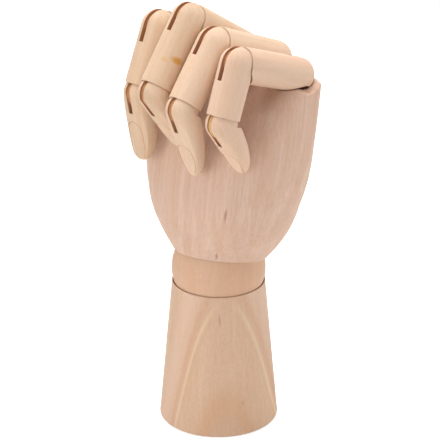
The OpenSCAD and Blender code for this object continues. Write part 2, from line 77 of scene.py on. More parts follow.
@dataclass(frozen=True)
class Sizes:
    """Sizes of the solids in millimetres and degrees, the same as the frame's."""

    base_h: float = 73.5
    base_foot_d: float = 59.0
    base_top_d: float = 46.0
    ball_d: float = 46.4
    ball_rise: float = 6.5
    ball_gap: float = 0.25
    ball_bore_d: float = 23.0
    lean_back: float = 12.9
    lean_side: float = 6.2
    spring_d: float = 9.0
    wire_d: float = 1.5
    spring_turns: int = 18
    cross_pin_d: float = 3.2
    base_pin_z: float = 28.0
    palm_pin_z: float = 27.0
    chamber_d: float = 19.0
    palm_rim_z: float = 6.8
    palm_rim_r: float = 22.6
    little_side: float = 44.0
    thumb_side: float = 42.0
    palm_front: float = 28.5
    palm_back: float = 21.5
    arch_z: float = 102.6
    arch_r: float = 105.0
    lip_h: float = 3.8
    pitch: float = 18.9
    row_x: float = 5.0
    knuckle_y: tuple[float, ...] = (8.0, 8.0, 8.5, 7.0)
    knuckle_z: tuple[float, ...] = (104.1, 106.4, 106.4, 101.6)
    proximal_len: tuple[float, ...] = (43.5, 43.0, 40.0, 39.5)
    middle_len: tuple[float, ...] = (33.0, 39.0, 35.0, 29.0)
    distal_len: tuple[float, ...] = (34.0, 32.0, 34.5, 29.5)
    tip_blunt: tuple[float, ...] = (4.2, 2.6, 2.7, 2.2)
    proximal_r: tuple[float, ...] = (8.8, 8.8, 8.8, 8.5)
    middle_r: tuple[float, ...] = (8.6, 8.6, 8.6, 8.3)
    distal_r: tuple[float, ...] = (7.9, 8.0, 7.9, 7.7)
    flex_1: tuple[float, ...] = (74.8, 68.8, 80.2, 82.2)
    flex_2: tuple[float, ...] = (91.4, 86.1, 73.3, 86.8)
    flex_3: tuple[float, ...] = (25.0, 63.0, 48.8, 48.0)
    thumb_root: tuple[float, float, float] = (-47.5, 7.0, 33.0)
    thumb_lean: float = 9.0
    thumb_len: tuple[float, float, float] = (30.0, 26.0, 27.0)
    thumb_r: tuple[float, float, float] = (9.5, 8.9, 8.4)
    cup_gap: float = 0.3
    trough_gap: float = 0.5
    rim_back: float = 3.0
    seat_back: float = 4.0
    rim_step: float = 0.4
    tongue_t: float = 2.4
    tongue_w: float = 9.0
    tongue_in: float = 9.0
    slot_gap: float = 0.4
    slot_past: float = 9.4
    pin_d: float = 2.0
    pin_cover: float = 2.2
    knuckle_close: float = 3.0
    relief_floor: float = 2.2
    relief_wall: float = 9.5
    fold_close: float = 3.0
    thumb_fold: float = 80.0

    @property
    def ball_z(self) -> float:
        """Height of the ball's middle."""
        return self.base_h + self.ball_rise

    def knuckle(self, finger: Finger) -> Vector:
        """Knuckle pivot in the hand's frame."""
        i = finger.value
        return Vector((self.row_x + (i - 1.5) * self.pitch, self.knuckle_y[i], self.knuckle_z[i]))


SIZE = Sizes()


def at(x: float, y: float, z: float) -> Matrix:
    """Translation in metres from millimetres."""
    return Matrix.Translation(Vector((x, y, z)) * MM)


def turn(degrees: float, axis: str) -> Matrix:
    """Rotation about an axis, right-handed."""
    return Matrix.Rotation(math.radians(degrees), 4, axis)


def hand_frame() -> Matrix:
    """Frame of the palm: origin at the ball's middle, +Z along the palm."""
    return at(0, 0, SIZE.ball_z) @ turn(-SIZE.lean_back, "X") @ turn(-SIZE.lean_side, "Y")


def finger_frames(finger: Finger) -> tuple[Matrix, Matrix, Matrix]:
    """Frames of a finger's three joints, +Z along the piece that each one carries.

    Args:
        finger: which finger.

    Returns:
        The knuckle's, the middle joint's and the end joint's frame.
    """
    i = finger.value
    first = hand_frame() @ at(*SIZE.knuckle(finger)) @ turn(SIZE.flex_1[i], "X")
    second = first @ at(0, 0, SIZE.proximal_len[i]) @ turn(SIZE.flex_2[i], "X")
    third = second @ at(0, 0, SIZE.middle_len[i]) @ turn(SIZE.flex_3[i], "X")
    return first, second, third


def thumb_frames() -> tuple[Matrix, Matrix, Matrix]:
    """Frames of the thumb's three joints.

    Returns:
        The root's, the middle joint's and the end joint's frame.
    """
    first = hand_frame() @ at(*SIZE.thumb_root) @ turn(-SIZE.thumb_lean, "Y")
    second = first @ at(0, 0, SIZE.thumb_len[0])
    return first, second, second @ at(0, 0, SIZE.thumb_len[1])


# ------------------------------------------------------------------ finishes

Sockets = dict[str | int, object]


def srgb(code: str) -> tuple[float, float, float, float]:
    """Turns an sRGB hex colour into linear RGBA.

    Args:
        code: the colour, such as "#dab79b".

    Returns:
        Linear red, green and blue, and an alpha of 1.
    """
    values = [int(code.lstrip("#")[i:i + 2], 16) / 255 for i in (0, 2, 4)]
    linear = [v / 12.92 if v <= 0.04045 else ((v + 0.055) / 1.055) ** 2.4 for v in values]
    return (linear[0], linear[1], linear[2], 1.0)


def limits(value: bpy.types.NodeSocket, source: Point, target: Point) -> Sockets:
    """Inputs that map a value between two limits onto two others, and hold it at their ends."""
    return {"Value": value, "From Min": source[0], "From Max": source[1],
            "To Min": target[0], "To Max": target[1]}


def node(tree: bpy.types.NodeTree, kind: str, inputs: Sockets | None = None,
         **settings: object) -> bpy.types.Node:
    """Adds a shader node with its settings, and sets or links its inputs.

    Args:
        tree: the material's node tree.
        kind: the node's type name without the leading "ShaderNode".
        inputs: values or output sockets by input name or number.
        settings: attributes of the node.

    Returns:
        The new node.
    """
    made = tree.nodes.new("ShaderNode" + kind)
    for key, value in settings.items():
        setattr(made, key, value)
    for key, value in (inputs or {}).items():
        if isinstance(value, bpy.types.NodeSocket):
            tree.links.new(value, made.inputs[key])
        else:
            made.inputs[key].default_value = value
    return made


@dataclass(frozen=True)
class Mark:
    """A spindle-shaped mark in the wood, such as a fleck or a resin streak, in local mm."""

    centre: tuple[float, float, float]
    half_sizes: tuple[float, float, float]
    colour: str
    strength: float
    facing: float = FLAT_FACE


@dataclass(frozen=True)
class GrowthLine:
    """One arched growth line of the base: its top's height and half width in mm."""

    top: float
    half: float
    colour: str
    strength: float
    only_arms: bool = True


@dataclass(frozen=True)
class Finish:
    """What every finish shares: its name, and where its pattern is read."""

    name: str
    carried: bool = field(default=False, kw_only=True)

    def start(self) -> tuple[bpy.types.Material, bpy.types.NodeTree, bpy.types.NodeSocket]:
        """Makes the empty material.

        Returns:
            The material, its node tree and the place on the piece, in metres, as a socket.
        """
        material = bpy.data.materials.new(self.name)
        material.use_nodes = True
        tree = material.node_tree
        tree.nodes.clear()
        if self.carried:
            return material, tree, node(tree, "TexCoord").outputs["Object"]
        return material, tree, node(tree, "Attribute", attribute_name=GRAIN).outputs["Vector"]


@dataclass(frozen=True)
class Pattern:
    """One noise in the wood: a cell's width and stretch, its finer layers and where it shows."""

    size_mm: float
    stretch: float
    detail: float
    band: Point = (0.0, 1.0)


WANDER = Pattern(28.0, 1.6, 2.0)
CLOUDS = Pattern(34.0, 1.8, 2.0, (0.3, 0.7))
# Real cells are about 0.05 mm wide; this mottle is 0.8 mm, so that it still shows
SPECKLE = Pattern(0.8, 2.6, 2.0, (0.35, 0.6))
# Real pores are under 0.1 mm wide; these are 0.33 mm, so that they still show
PORES = Pattern(0.33, 17.0, 2.0, (0.22, 0.34))
# Waxed wood's index is near 1.46 and its gloss weak; red light goes 2.4 mm under it, blue 0.5 mm
WOOD_SKIN: Sockets = {"IOR": 1.46, "Specular IOR Level": 0.16, "Subsurface Weight": 0.14,
                      "Subsurface Radius": (1.0, 0.42, 0.2), "Subsurface Scale": 0.0024}


@dataclass(frozen=True)
class WoodFinish(Finish):
    """Light close-grained wood, such as beech or maple, sanded fine and waxed.

    To the eye it is nearly matt and warm: soft long streaks along the piece, fine pores,
    and a little light that goes under the skin. The grain runs along the local Z axis.
    """

    body: str
    light: str
    dark: str
    streak_mm: float = 1.6
    streak_stretch: float = 30.0
    streak: float = 0.2
    wander_mm: float = 2.0
    growth: tuple[GrowthLine, ...] = ()
    arch_width: float = 9.2
    arch_shift: float = 3.5
    arch_bend_mm: float = 5.0
    arch_fray_mm: float = 2.0
    arms_mm: Point = (3.0, 11.0)
    line_core: float = 0.15
    cloud: float = 0.34
    fleck: float = 0.3
    speckle: float = 0.12
    roughness: float = 0.56
    bump: float = 0.16
    bump_mm: float = 0.1
    pore_depth: float = 0.65
    marks: tuple[Mark, ...] = ()
    mark_fray: float = 0.9
    mark_band: Point = (0.9, 1.45)
    seed: float = 0.0

    def build(self) -> bpy.types.Material:
        """Makes the material.

        Returns:
            The wood, with its own streaks, pores, growth lines and marks.
        """
        material, tree, place = self.start()
        # Each seed reads the noises somewhere else
        shift = (self.seed * 0.013, self.seed * 0.007, self.seed * 0.031)
        moved = node(tree, "VectorMath", {0: place, 1: shift}, operation="ADD").outputs[0]
        wander = self.noise(tree, moved, WANDER)
        push = node(tree, "MapRange", {"Value": wander, "To Min": -self.wander_mm * MM,
                                       "To Max": self.wander_mm * MM}).outputs["Result"]
        sideways = node(tree, "CombineXYZ", {"X": push, "Y": push}).outputs[0]
        bent = node(tree, "VectorMath", {0: moved, 1: sideways}, operation="ADD").outputs[0]
        fine = Pattern(self.streak_mm, self.streak_stretch, 4.0, (0.36, 0.62))
        wide = Pattern(self.streak_mm * 5.5, self.streak_stretch * 0.7, 2.0, (0.32, 0.68))
        streaks, broad = self.noise(tree, bent, fine), self.noise(tree, bent, wide)
        pores = self.noise(tree, bent, PORES)
        shades = (
            (broad, wide.band, (0.0, 1.0), self.light),
            (streaks, fine.band, (self.streak, 0.0), self.dark),
            (self.noise(tree, moved, CLOUDS), CLOUDS.band, (self.cloud, 0.0), self.body),
            (self.noise(tree, moved, SPECKLE), SPECKLE.band, (self.speckle, 0.0), self.dark),
            (pores, PORES.band, (self.fleck, 0.0), self.dark),
        )
        layers = [(node(tree, "MapRange", limits(value, band, amount)).outputs["Result"], colour)
                  for value, band, amount, colour in shades]
        if self.growth:
            level, arms = self.level(tree, place, wander, streaks)
            # The growth lines lie under the pores
            layers[-1:-1] = [(self.line_share(tree, level, arms, line), line.colour)
                             for line in self.growth]
        layers += [(self.mark_share(tree, place, mark, streaks), mark.colour) for mark in self.marks]
        tone = srgb(self.body)
        for share, colour in layers:
            mix = {0: share, 6: tone, 7: srgb(colour)}
            tone = node(tree, "Mix", mix, data_type="RGBA").outputs[2]
        relief = {0: pores, 1: self.pore_depth, 2: streaks}
        height = node(tree, "Math", relief, operation="MULTIPLY_ADD").outputs[0]
        bump = node(tree, "Bump", {"Strength": self.bump, "Distance": self.bump_mm * MM,
                                   "Height": height}).outputs["Normal"]
        sheen = limits(streaks, (0.0, 1.0), (self.roughness - 0.05, self.roughness + 0.08))
        rough = node(tree, "MapRange", sheen).outputs["Result"]
        surface = node(tree, "BsdfPrincipled",
                       {"Base Color": tone, "Roughness": rough, "Normal": bump, **WOOD_SKIN})
        node(tree, "OutputMaterial", {"Surface": surface.outputs["BSDF"]})
        return material

    def noise(self, tree: bpy.types.NodeTree, place: bpy.types.NodeSocket,
              pattern: Pattern) -> bpy.types.NodeSocket:
        """Noise drawn out along the grain.

        Args:
            tree: the material's node tree.
            place: where it is read, in metres.
            pattern: its cell's width, stretch and finer layers.

        Returns:
            The noise, 0 to 1.
        """
        across = 1.0 / (pattern.size_mm * MM)
        scale = (across, across, across / pattern.stretch)
        spot = node(tree, "Mapping", {"Vector": place, "Scale": scale})
        return node(tree, "TexNoise", {"Vector": spot.outputs[0], "Scale": 1.0,
                                       "Detail": pattern.detail, "Roughness": 0.56}).outputs["Fac"]

    def level(self, tree: bpy.types.NodeTree, place: bpy.types.NodeSocket,
              wander: bpy.types.NodeSocket,
              streaks: bpy.types.NodeSocket) -> tuple[bpy.types.NodeSocket, bpy.types.NodeSocket]:
        """Which arched growth line a place lies on: its height plus the square of the way across.

        Args:
            tree: the material's node tree.
            place: where it is read, in metres.
            wander: slow noise that bends the lines.
            streaks: fine noise that frays them.

        Returns:
            Height of the line's top in metres, and a share that is 0 at the arch's top and 1 on
            its arms.
        """
        angle = math.radians(FLAT_FACE)
        ways = {0: place, 1: (math.cos(angle), math.sin(angle), 0.0)}
        across = node(tree, "VectorMath", ways, operation="DOT_PRODUCT").outputs["Value"]
        off = node(tree, "Math", {0: across, 1: self.arch_shift * MM}, operation="SUBTRACT").outputs[0]
        square = node(tree, "Math", {0: off, 1: off}, operation="MULTIPLY").outputs[0]
        height = node(tree, "SeparateXYZ", {"Vector": place}).outputs["Z"]
        # 1 / width turns the square into a rise; the noises are taken about their middle, 0.5
        level = height
        for value, weight in ((square, 1.0 / (self.arch_width * MM)),
                              (wander, self.arch_bend_mm * MM), (streaks, self.arch_fray_mm * MM)):
            rise = {0: value, 1: weight, 2: level}
            level = node(tree, "Math", rise, operation="MULTIPLY_ADD").outputs[0]
        middle = (self.arch_bend_mm + self.arch_fray_mm) / 2 * MM
        level = node(tree, "Math", {0: level, 1: middle}, operation="SUBTRACT").outputs[0]
        far = node(tree, "Math", {0: off}, operation="ABSOLUTE").outputs[0]
        near, wide = (value * MM for value in self.arms_mm)
        return level, node(tree, "MapRange", limits(far, (near, wide), (0.0, 1.0))).outputs["Result"]

    def line_share(self, tree: bpy.types.NodeTree, level: bpy.types.NodeSocket,
                   arms: bpy.types.NodeSocket, line: GrowthLine) -> bpy.types.NodeSocket:
        """How far one growth line colours a place.

        Args:
            tree: the material's node tree.
            level: the place's own level.
            arms: 0 at the arch's top and 1 on its arms.
            line: the growth line.

        Returns:
            Its strength in the middle, falling softly to 0 at both sides.
        """
        off = node(tree, "Math", {0: level, 1: line.top * MM}, operation="SUBTRACT").outputs[0]
        far = node(tree, "Math", {0: off}, operation="ABSOLUTE").outputs[0]
        edges = (self.line_core * line.half * MM, line.half * MM)
        soft = node(tree, "MapRange", limits(far, edges, (line.strength, 0.0))).outputs["Result"]
        if not line.only_arms:
            return soft
        return node(tree, "Math", {0: soft, 1: arms}, operation="MULTIPLY").outputs[0]

    def mark_share(self, tree: bpy.types.NodeTree, place: bpy.types.NodeSocket, mark: Mark,
                   streaks: bpy.types.NodeSocket) -> bpy.types.NodeSocket:
        """How far one mark colours a place, with an edge frayed along the grain.

        Args:
            tree: the material's node tree.
            place: where it is read, in metres.
            mark: the mark.
            streaks: fine noise that frays its edge.

        Returns:
            Its strength in the middle, 0 outside.
        """
        centre = tuple(value * MM for value in mark.centre)
        scale = tuple(1.0 / (value * MM) for value in mark.half_sizes)
        local = node(tree, "VectorMath", {0: place, 1: centre}, operation="SUBTRACT").outputs[0]
        spun = {"Vector": local, "Rotation": (0.0, 0.0, -math.radians(mark.facing))}
        turned = node(tree, "Mapping", spun).outputs[0]
        sized = node(tree, "VectorMath", {0: turned, 1: scale}, operation="MULTIPLY").outputs[0]
        far = node(tree, "VectorMath", {0: sized}, operation="LENGTH").outputs["Value"]
        fray = {0: streaks, 1: self.mark_fray, 2: far}
        frayed = node(tree, "Math", fray, operation="MULTIPLY_ADD").outputs[0]
        fade = limits(frayed, self.mark_band, (mark.strength, 0.0))
        return node(tree, "MapRange", fade).outputs["Result"]


@dataclass(frozen=True)
class SteelFinish(Finish):
    """Bright carbon steel, cold drawn: fine drawing lines and an uneven, satin gloss."""

    colour: str
    worn: str = "#8d9094"
    roughness: float = 0.32
    line_mm: float = 0.25
    line_stretch: float = 10.0

    def build(self) -> bpy.types.Material:
        """Makes the material.

        Returns:
            The steel.
        """
        material, tree, place = self.start()
        # Real drawing lines are far finer than 0.25 mm; they run along X, as the finger pins do
        across = 1.0 / (self.line_mm * MM)
        scale = (across / self.line_stretch, across, across)
        spot = node(tree, "Mapping", {"Vector": place, "Scale": scale}).outputs[0]
        lines = node(tree, "TexNoise", {"Vector": spot, "Scale": 1.0, "Detail": 3.0}).outputs["Fac"]
        tones = {0: lines, 6: srgb(self.colour), 7: srgb(self.worn)}
        tone = node(tree, "Mix", tones, data_type="RGBA").outputs[2]
        rough = node(tree, "MapRange", {"Value": lines, "To Min": self.roughness - 0.06,
                                        "To Max": self.roughness + 0.1}).outputs["Result"]
        surface = node(tree, "BsdfPrincipled",
                       {"Base Color": tone, "Metallic": 1.0, "Roughness": rough})
        node(tree, "OutputMaterial", {"Surface": surface.outputs["BSDF"]})
        return material


# Beech base: one light arch whose arms run down both sides, redder wood outside its top
BASE_GROWTH = (
    GrowthLine(104.0, 24.0, "#e6c6b2", 0.45),
    GrowthLine(79.5, 7.5, "#cf9c80", 0.36),
    GrowthLine(70.5, 3.2, "#e4c8a6", 0.8),
    GrowthLine(64.5, 2.6, "#cfa583", 0.2),
    GrowthLine(50.0, 2.0, "#dcba98", 0.25),
    GrowthLine(18.0, 15.0, "#d2a078", 0.4, only_arms=False),
)
# A brown fleck high on the base and a small greenish one near its foot
BASE_MARKS = (
    Mark((18.9, -14.8, 62.0), (0.7, 6.0, 4.0), "#b0764f", 0.38),
    Mark((26.5, -6.5, 17.0), (1.0, 2.0, 1.8), "#a98f5a", 0.4),
)
# Two brown flecks on the palm, one at mid height and one at the heel
PALM_MARKS = (
    Mark((25.1, -21.6, 31.7), (0.75, 6.0, 4.2), "#935a40", 0.55),
    Mark((17.3, -17.6, 9.7), (0.8, 7.0, 2.6), "#8f563d", 0.55),
)
# An amber resin streak and its paler end, on the side of the middle finger's pieces
RESIN_MARKS = (
    Mark((8.0, 2.2, 21.6), (4.0, 4.0, 2.2), "#cf9433", 0.85, facing=0.0),
    Mark((4.5, 7.0, 23.5), (3.0, 2.0, 1.6), "#dda95a", 0.4, facing=0.0),
)


class Finishes:
    """The model's materials, each made once."""

    def __init__(self) -> None:
        """Makes every material."""
        # Turned beech: nearly matt, with the flat-sawn arch, short pores and a pinkish cast
        self.base = WoodFinish("turned beech base, sanded and waxed", "#dab79b", "#dfc0a6", "#bd8b66",
                               streak=0.14, speckle=0.16, growth=BASE_GROWTH, marks=BASE_MARKS,
                               seed=3.0).build()
        # The same beech polished: smoother and calmer, with wider and fainter streaks
        self.ball = WoodFinish("turned beech ball, polished", "#dab193", "#e0bca2", "#bd8860",
                               streak=0.12, streak_mm=2.2, roughness=0.5, seed=11.0).build()
        # Shaped beech: close straight streaks up to 60 mm long, on paler and pinker wood
        self.palm = WoodFinish("shaped beech palm, sanded and waxed", "#dcb8a0", "#e6cab8", "#bd8e70",
                               streak_mm=1.0, streak_stretch=60.0, streak=0.24, wander_mm=1.2,
                               seed=5.0, marks=PALM_MARKS).build()
        # Fine-sanded maple: paler and plainer than beech, each finger a little different in colour
        maples = (
            ("index", "#e0c0a2", "#e8cdb1", "#c29670", ()),
            ("middle", "#e0c1a4", "#e9ceb4", "#c29672", RESIN_MARKS),
            ("ring", "#e8c8ac", "#eed3ba", "#ca9d7a", ()),
            ("little", "#e7c6ac", "#edd0ba", "#c99a7a", ()),
            ("thumb", "#e3c0a0", "#ebceb0", "#c7966d", ()),
        )
        self.maple = {
            name: WoodFinish("shaped maple finger, fine sanded, " + name, body, light, dark,
                             streak=0.16, speckle=0.1, marks=marks, seed=21.0 + 11.0 * number).build()
            for number, (name, body, light, dark, marks) in enumerate(maples)
        }
        # Bare sawn wood: a saw burns the slot's walls a little, and no wax reaches them; the darker brown is
        # also painted shade in the slots, pockets, pin holes and the hollows under the balls and domes
        self.sawn = WoodFinish("sawn slot wall, bare maple", "#c58d66", "#cf9a74", "#9a6240",
                               streak=0.4, roughness=0.7, seed=71.0).build()
        # Painted shade in the scribed nail groove: a little darker and drier than the skin
        self.scribed = WoodFinish("scribed nail line with old wax", "#d7ae8a", "#ddb693", "#b98a66",
                                  roughness=0.6, seed=77.0).build()
        # Sawn birch seen on its edge: red-brown, with strong close streaks; the red-brown is partly painted
        # shade, as these edges sit deep in the slots
        self.tongue = WoodFinish("sawn birch tongue, waxed", "#c68c5f", "#d29b70", "#8a5230",
                                 streak_mm=0.8, streak=0.5, roughness=0.6, seed=8.0,
                                 carried=True).build()
        # Resinous pine: honey yellow and a little glossier than the other tongues
        self.resinous = WoodFinish("resinous pine tongue, waxed", "#dcae70", "#e6bd84", "#ad7438",
                                   streak_mm=0.8, streak=0.4, roughness=0.5, seed=9.0,
                                   carried=True).build()
        # Drawn steel: bright and satin where the pins' ends show in the wood
        self.pin = SteelFinish("drawn steel pin", "#c6c8ca", carried=True).build()
        # Drawn spring wire: greyer and rougher than the pins
        self.spring = SteelFinish("drawn spring steel wire", "#a4a7aa", roughness=0.36).build()


# ------------------------------------------------------------------ mesh tools

def new_object(name: str, points: np.ndarray, faces: Iterable[Sequence[int]], place: Matrix,
               material: bpy.types.Material) -> bpy.types.Object:
    """Makes a mesh object from points in millimetres in its local frame.

    Args:
        name: the object's name.
        points: array of x, y, z in millimetres.
        faces: point numbers of each face.
        place: the object's matrix.
        material: its only material.

    Returns:
        The linked object, shaded smooth.
    """
    mesh = bpy.data.meshes.new(name)
    corners = [tuple(map(int, face)) for face in faces]
    mesh.from_pydata((np.asarray(points, dtype=float) * MM).tolist(), [], corners)
    mesh.validate()
    mesh.materials.append(material)
    made = bpy.data.objects.new(name, mesh)
    bpy.context.scene.collection.objects.link(made)
    made.matrix_world = place
    tidy_normals(made)
    return made


def tidy_normals(piece: bpy.types.Object) -> None:
    """Points the faces outwards and shades them smooth.

    Args:
        piece: the object.
    """
    work = bmesh.new()
    work.from_mesh(piece.data)
    bmesh.ops.recalc_face_normals(work, faces=work.faces)
    for face in work.faces:
        face.smooth = True
    work.to_mesh(piece.data)
    work.free()


def lathe(profile: Sequence[Point], segments: int = 96) -> Shape:
    """Spins a closed outline about Z. Its first and last points lie on the axis.

    Args:
        profile: (radius, height) points from the bottom of the axis round to its top.
        segments: faces round the axis.

    Returns:
        Points and faces.
    """
    rings = profile[1:-1]
    angle = np.arange(segments) * 2 * math.pi / segments
    points = [[0.0, 0.0, profile[0][1]]]
    for radius, height in rings:
        level = np.full(segments, height)
        points += np.stack([radius * np.cos(angle), radius * np.sin(angle), level], 1).tolist()
    points.append([0.0, 0.0, profile[-1][1]])
    last = len(points) - 1
    faces: list[list[int]] = []
    for j in range(segments):
        k = (j + 1) % segments
        faces.append([0, 1 + k, 1 + j])
        for i in range(len(rings) - 1):
            low, high = 1 + i * segments, 1 + (i + 1) * segments
            faces.append([low + j, low + k, high + k, high + j])
        top = 1 + (len(rings) - 1) * segments
        faces.append([top + j, top + k, last])
    return np.array(points), faces


def rings_mesh(rings: Sequence[np.ndarray], closed_ends: bool = True) -> Shape:
    """Joins equal rings of points into a tube.

    Args:
        rings: the rings in order, with the same number of points.
        closed_ends: adds a fan of faces at each end.

    Returns:
        Points and faces.
    """
    count = len(rings[0])
    points = np.concatenate(rings)
    faces: list[list[int]] = []
    for i in range(len(rings) - 1):
        for j in range(count):
            k = (j + 1) % count
            faces.append([i * count + j, i * count + k, (i + 1) * count + k, (i + 1) * count + j])
    if closed_ends:
        ends = np.array([rings[0].mean(0), rings[-1].mean(0)])
        first, last = len(points), len(points) + 1
        points = np.concatenate([points, ends])
        top = (len(rings) - 1) * count
        for j in range(count):
            k = (j + 1) % count
            faces.append([first, k, j])
            faces.append([last, top + j, top + k])
    return points, faces


def tube(path: np.ndarray, radius: float, sides: int) -> Shape:
    """A round wire along a path, its rings square to it.

    Args:
        path: points of the centre line.
        radius: the wire's radius.
        sides: faces round the wire.

    Returns:
        Points and faces.
    """
    tangent = np.gradient(path, axis=0)
    tangent /= np.linalg.norm(tangent, axis=1)[:, None]
    side = np.array([0.0, 1.0, 0.0])
    angle = np.arange(sides) * 2 * math.pi / sides
    rings = []
    for centre, along in zip(path, tangent):
        side = side - along * side.dot(along)
        side /= np.linalg.norm(side)
        other = np.cross(along, side)
        rings.append(centre + radius * (np.outer(np.cos(angle), side) + np.outer(np.sin(angle), other)))
    return rings_mesh(rings)


def box_cutter(low: Sequence[float], high: Sequence[float]) -> Shape:
    """A box between two corners.

    Args:
        low: its lowest x, y and z.
        high: its highest x, y and z.

    Returns:
        Points and faces.
    """
    across, deep, tall = zip(low, high)
    points = np.array([[x, y, z] for x in across for y in deep for z in tall])
    faces = [[0, 1, 3, 2], [4, 6, 7, 5], [0, 4, 5, 1], [2, 3, 7, 6], [0, 2, 6, 4], [1, 5, 7, 3]]
    return points, faces


def prism_x(outline: Sequence[Point], half: float) -> Shape:
    """A prism along X.

    Args:
        outline: its (y, z) points.
        half: half of its width.

    Returns:
        Points and faces.
    """
    count = len(outline)
    points = np.array([[side, y, z] for side in (-half, half) for y, z in outline])
    faces = [list(range(count)), list(range(2 * count - 1, count - 1, -1))]
    for j in range(count):
        k = (j + 1) % count
        faces.append([j, j + count, k + count, k])
    return points, faces


def rod_cutter(start: Vector, end: Vector, radius: float, segments: int = 32) -> Shape:
    """A round bar between two points.

    Args:
        start: middle of its first end.
        end: middle of its other end.
        radius: its radius.
        segments: faces round it.

    Returns:
        Points and faces.
    """
    length = (end - start).length
    along = (end - start).normalized()
    spin = along.to_track_quat("Z", "Y").to_matrix()
    points, faces = lathe([(0, 0), (radius, 0), (radius, length), (0, length)], segments)
    return points @ np.array(spin).T + np.array(start), faces


def pocket(seat: float, mouth: float) -> Shape:
    """Pocket for a tongue, from under its seat's height up to its mouth's."""
    half_t, half_w = SIZE.tongue_t / 2 + POCKET_EASE, SIZE.tongue_w / 2 + POCKET_EASE
    return box_cutter((-half_t, -half_w, seat - SIZE.tongue_in - POCKET_DEEPER),
                      (half_t, half_w, mouth))


def combine(piece: bpy.types.Object, others: Iterable[tuple[Shape, Matrix]], operation: str = "DIFFERENCE",
            lining: bpy.types.Material | None = None) -> None:
    """Cuts shapes from a piece, or joins them to it, and keeps the result as its mesh.

    Args:
        piece: the object to change.
        others: shapes in millimetres, each with the matrix that places it.
        operation: DIFFERENCE or UNION.
        lining: finish of the new faces, if it isn't the piece's own.
    """
    helpers = []
    if lining is not None:
        piece.data.materials.append(lining)
    number = len(piece.data.materials) - 1 if lining is not None else 0
    for (points, faces), place in others:
        helper = new_object("helper", points, faces, place, piece.data.materials[0])
        for material in piece.data.materials[1:]:
            helper.data.materials.append(material)
        helper.data.polygons.foreach_set("material_index", [number] * len(helper.data.polygons))
        helpers.append(helper)
        change = piece.modifiers.new("change", "BOOLEAN")
        change.operation = operation
        change.solver = "MANIFOLD"
        change.object = helper
    bpy.context.view_layer.update()
    result = bpy.data.meshes.new_from_object(piece.evaluated_get(bpy.context.evaluated_depsgraph_get()))
    old = piece.data
    piece.modifiers.clear()
    result.name = old.name
    piece.data = result
    bpy.data.meshes.remove(old)
    for helper in helpers:
        mesh = helper.data
        bpy.data.objects.remove(helper)
        bpy.data.meshes.remove(mesh)


def crisp(piece: bpy.types.Object, degrees: float = 32.0) -> None:
    """Shades smooth, with sharp edges where faces meet at more than an angle.

    Args:
        piece: the object.
        degrees: the angle.
    """
    mesh = piece.data
    for face in mesh.polygons:
        face.use_smooth = True
    mesh.set_sharp_from_angle(angle=math.radians(degrees))


def line_hollow(piece: bpy.types.Object, lining: bpy.types.Material, centre: Sequence[float],
                radius: float, skin: float = 0.02) -> None:
    """Gives the faces of a round hollow the finish of bare wood, whose darker brown is partly painted shade
    in the hollow.

    Args:
        piece: the object, its mesh still in its local frame.
        lining: the finish.
        centre: the hollow's middle, in local millimetres.
        radius: its radius in millimetres.
        skin: how far outside the radius a face may lie, in millimetres.
    """
    if lining.name not in piece.data.materials:
        piece.data.materials.append(lining)
    number = piece.data.materials.find(lining.name)
    middle = Vector(centre) * MM
    for face in piece.data.polygons:
        corners = (piece.data.vertices[i].co for i in face.vertices)
        spot = sum(corners, Vector()) / len(face.vertices)
        if (spot - middle).length < (radius + skin) * MM:
            face.material_index = number


def keep_grain(mesh: bpy.types.Mesh) -> None:
    """Stores each point's local place, which the wood and steel patterns follow.

    Args:
        mesh: the mesh, still in its local frame.
    """
    local = np.empty(len(mesh.vertices) * 3, dtype=np.float32)
    mesh.vertices.foreach_get("co", local)
    mesh.attributes.new(GRAIN, "FLOAT_VECTOR", "POINT").data.foreach_set("vector", local)


def settle(piece: bpy.types.Object, body: str, slot: str, *nodes: str) -> None:
    """Hands a finished piece to the frame.

    The mesh is moved into the frame and keeps its local places for the grain.

    Args:
        piece: the object, whose matrix still places it.
        body: the body that it rides on.
        slot: the record's material slot; not used.
        nodes: the solids that it replaces.
    """
    keep_grain(piece.data)
    piece.data.transform(piece.matrix_world)
    piece.matrix_world = Matrix.Identity(4)
    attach(piece, body)
    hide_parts(*nodes)
    LOG.info("%s: %d faces on %s", piece.name, len(piece.data.polygons), body)


def arc(centre: Point, radius: float, start: float, stop: float, steps: int) -> list[Point]:
    """Points of an arc in the outline's plane.

    Args:
        centre: its middle.
        radius: its radius.
        start: angle of its first point, in degrees.
        stop: angle of its last point, in degrees.
        steps: how many steps lie between them.

    Returns:
        The points.
    """
    return [(centre[0] + radius * math.cos(math.radians(start + (stop - start) * i / steps)),
             centre[1] + radius * math.sin(math.radians(start + (stop - start) * i / steps)))
            for i in range(steps + 1)]


# ------------------------------------------------------------------ base and wrist

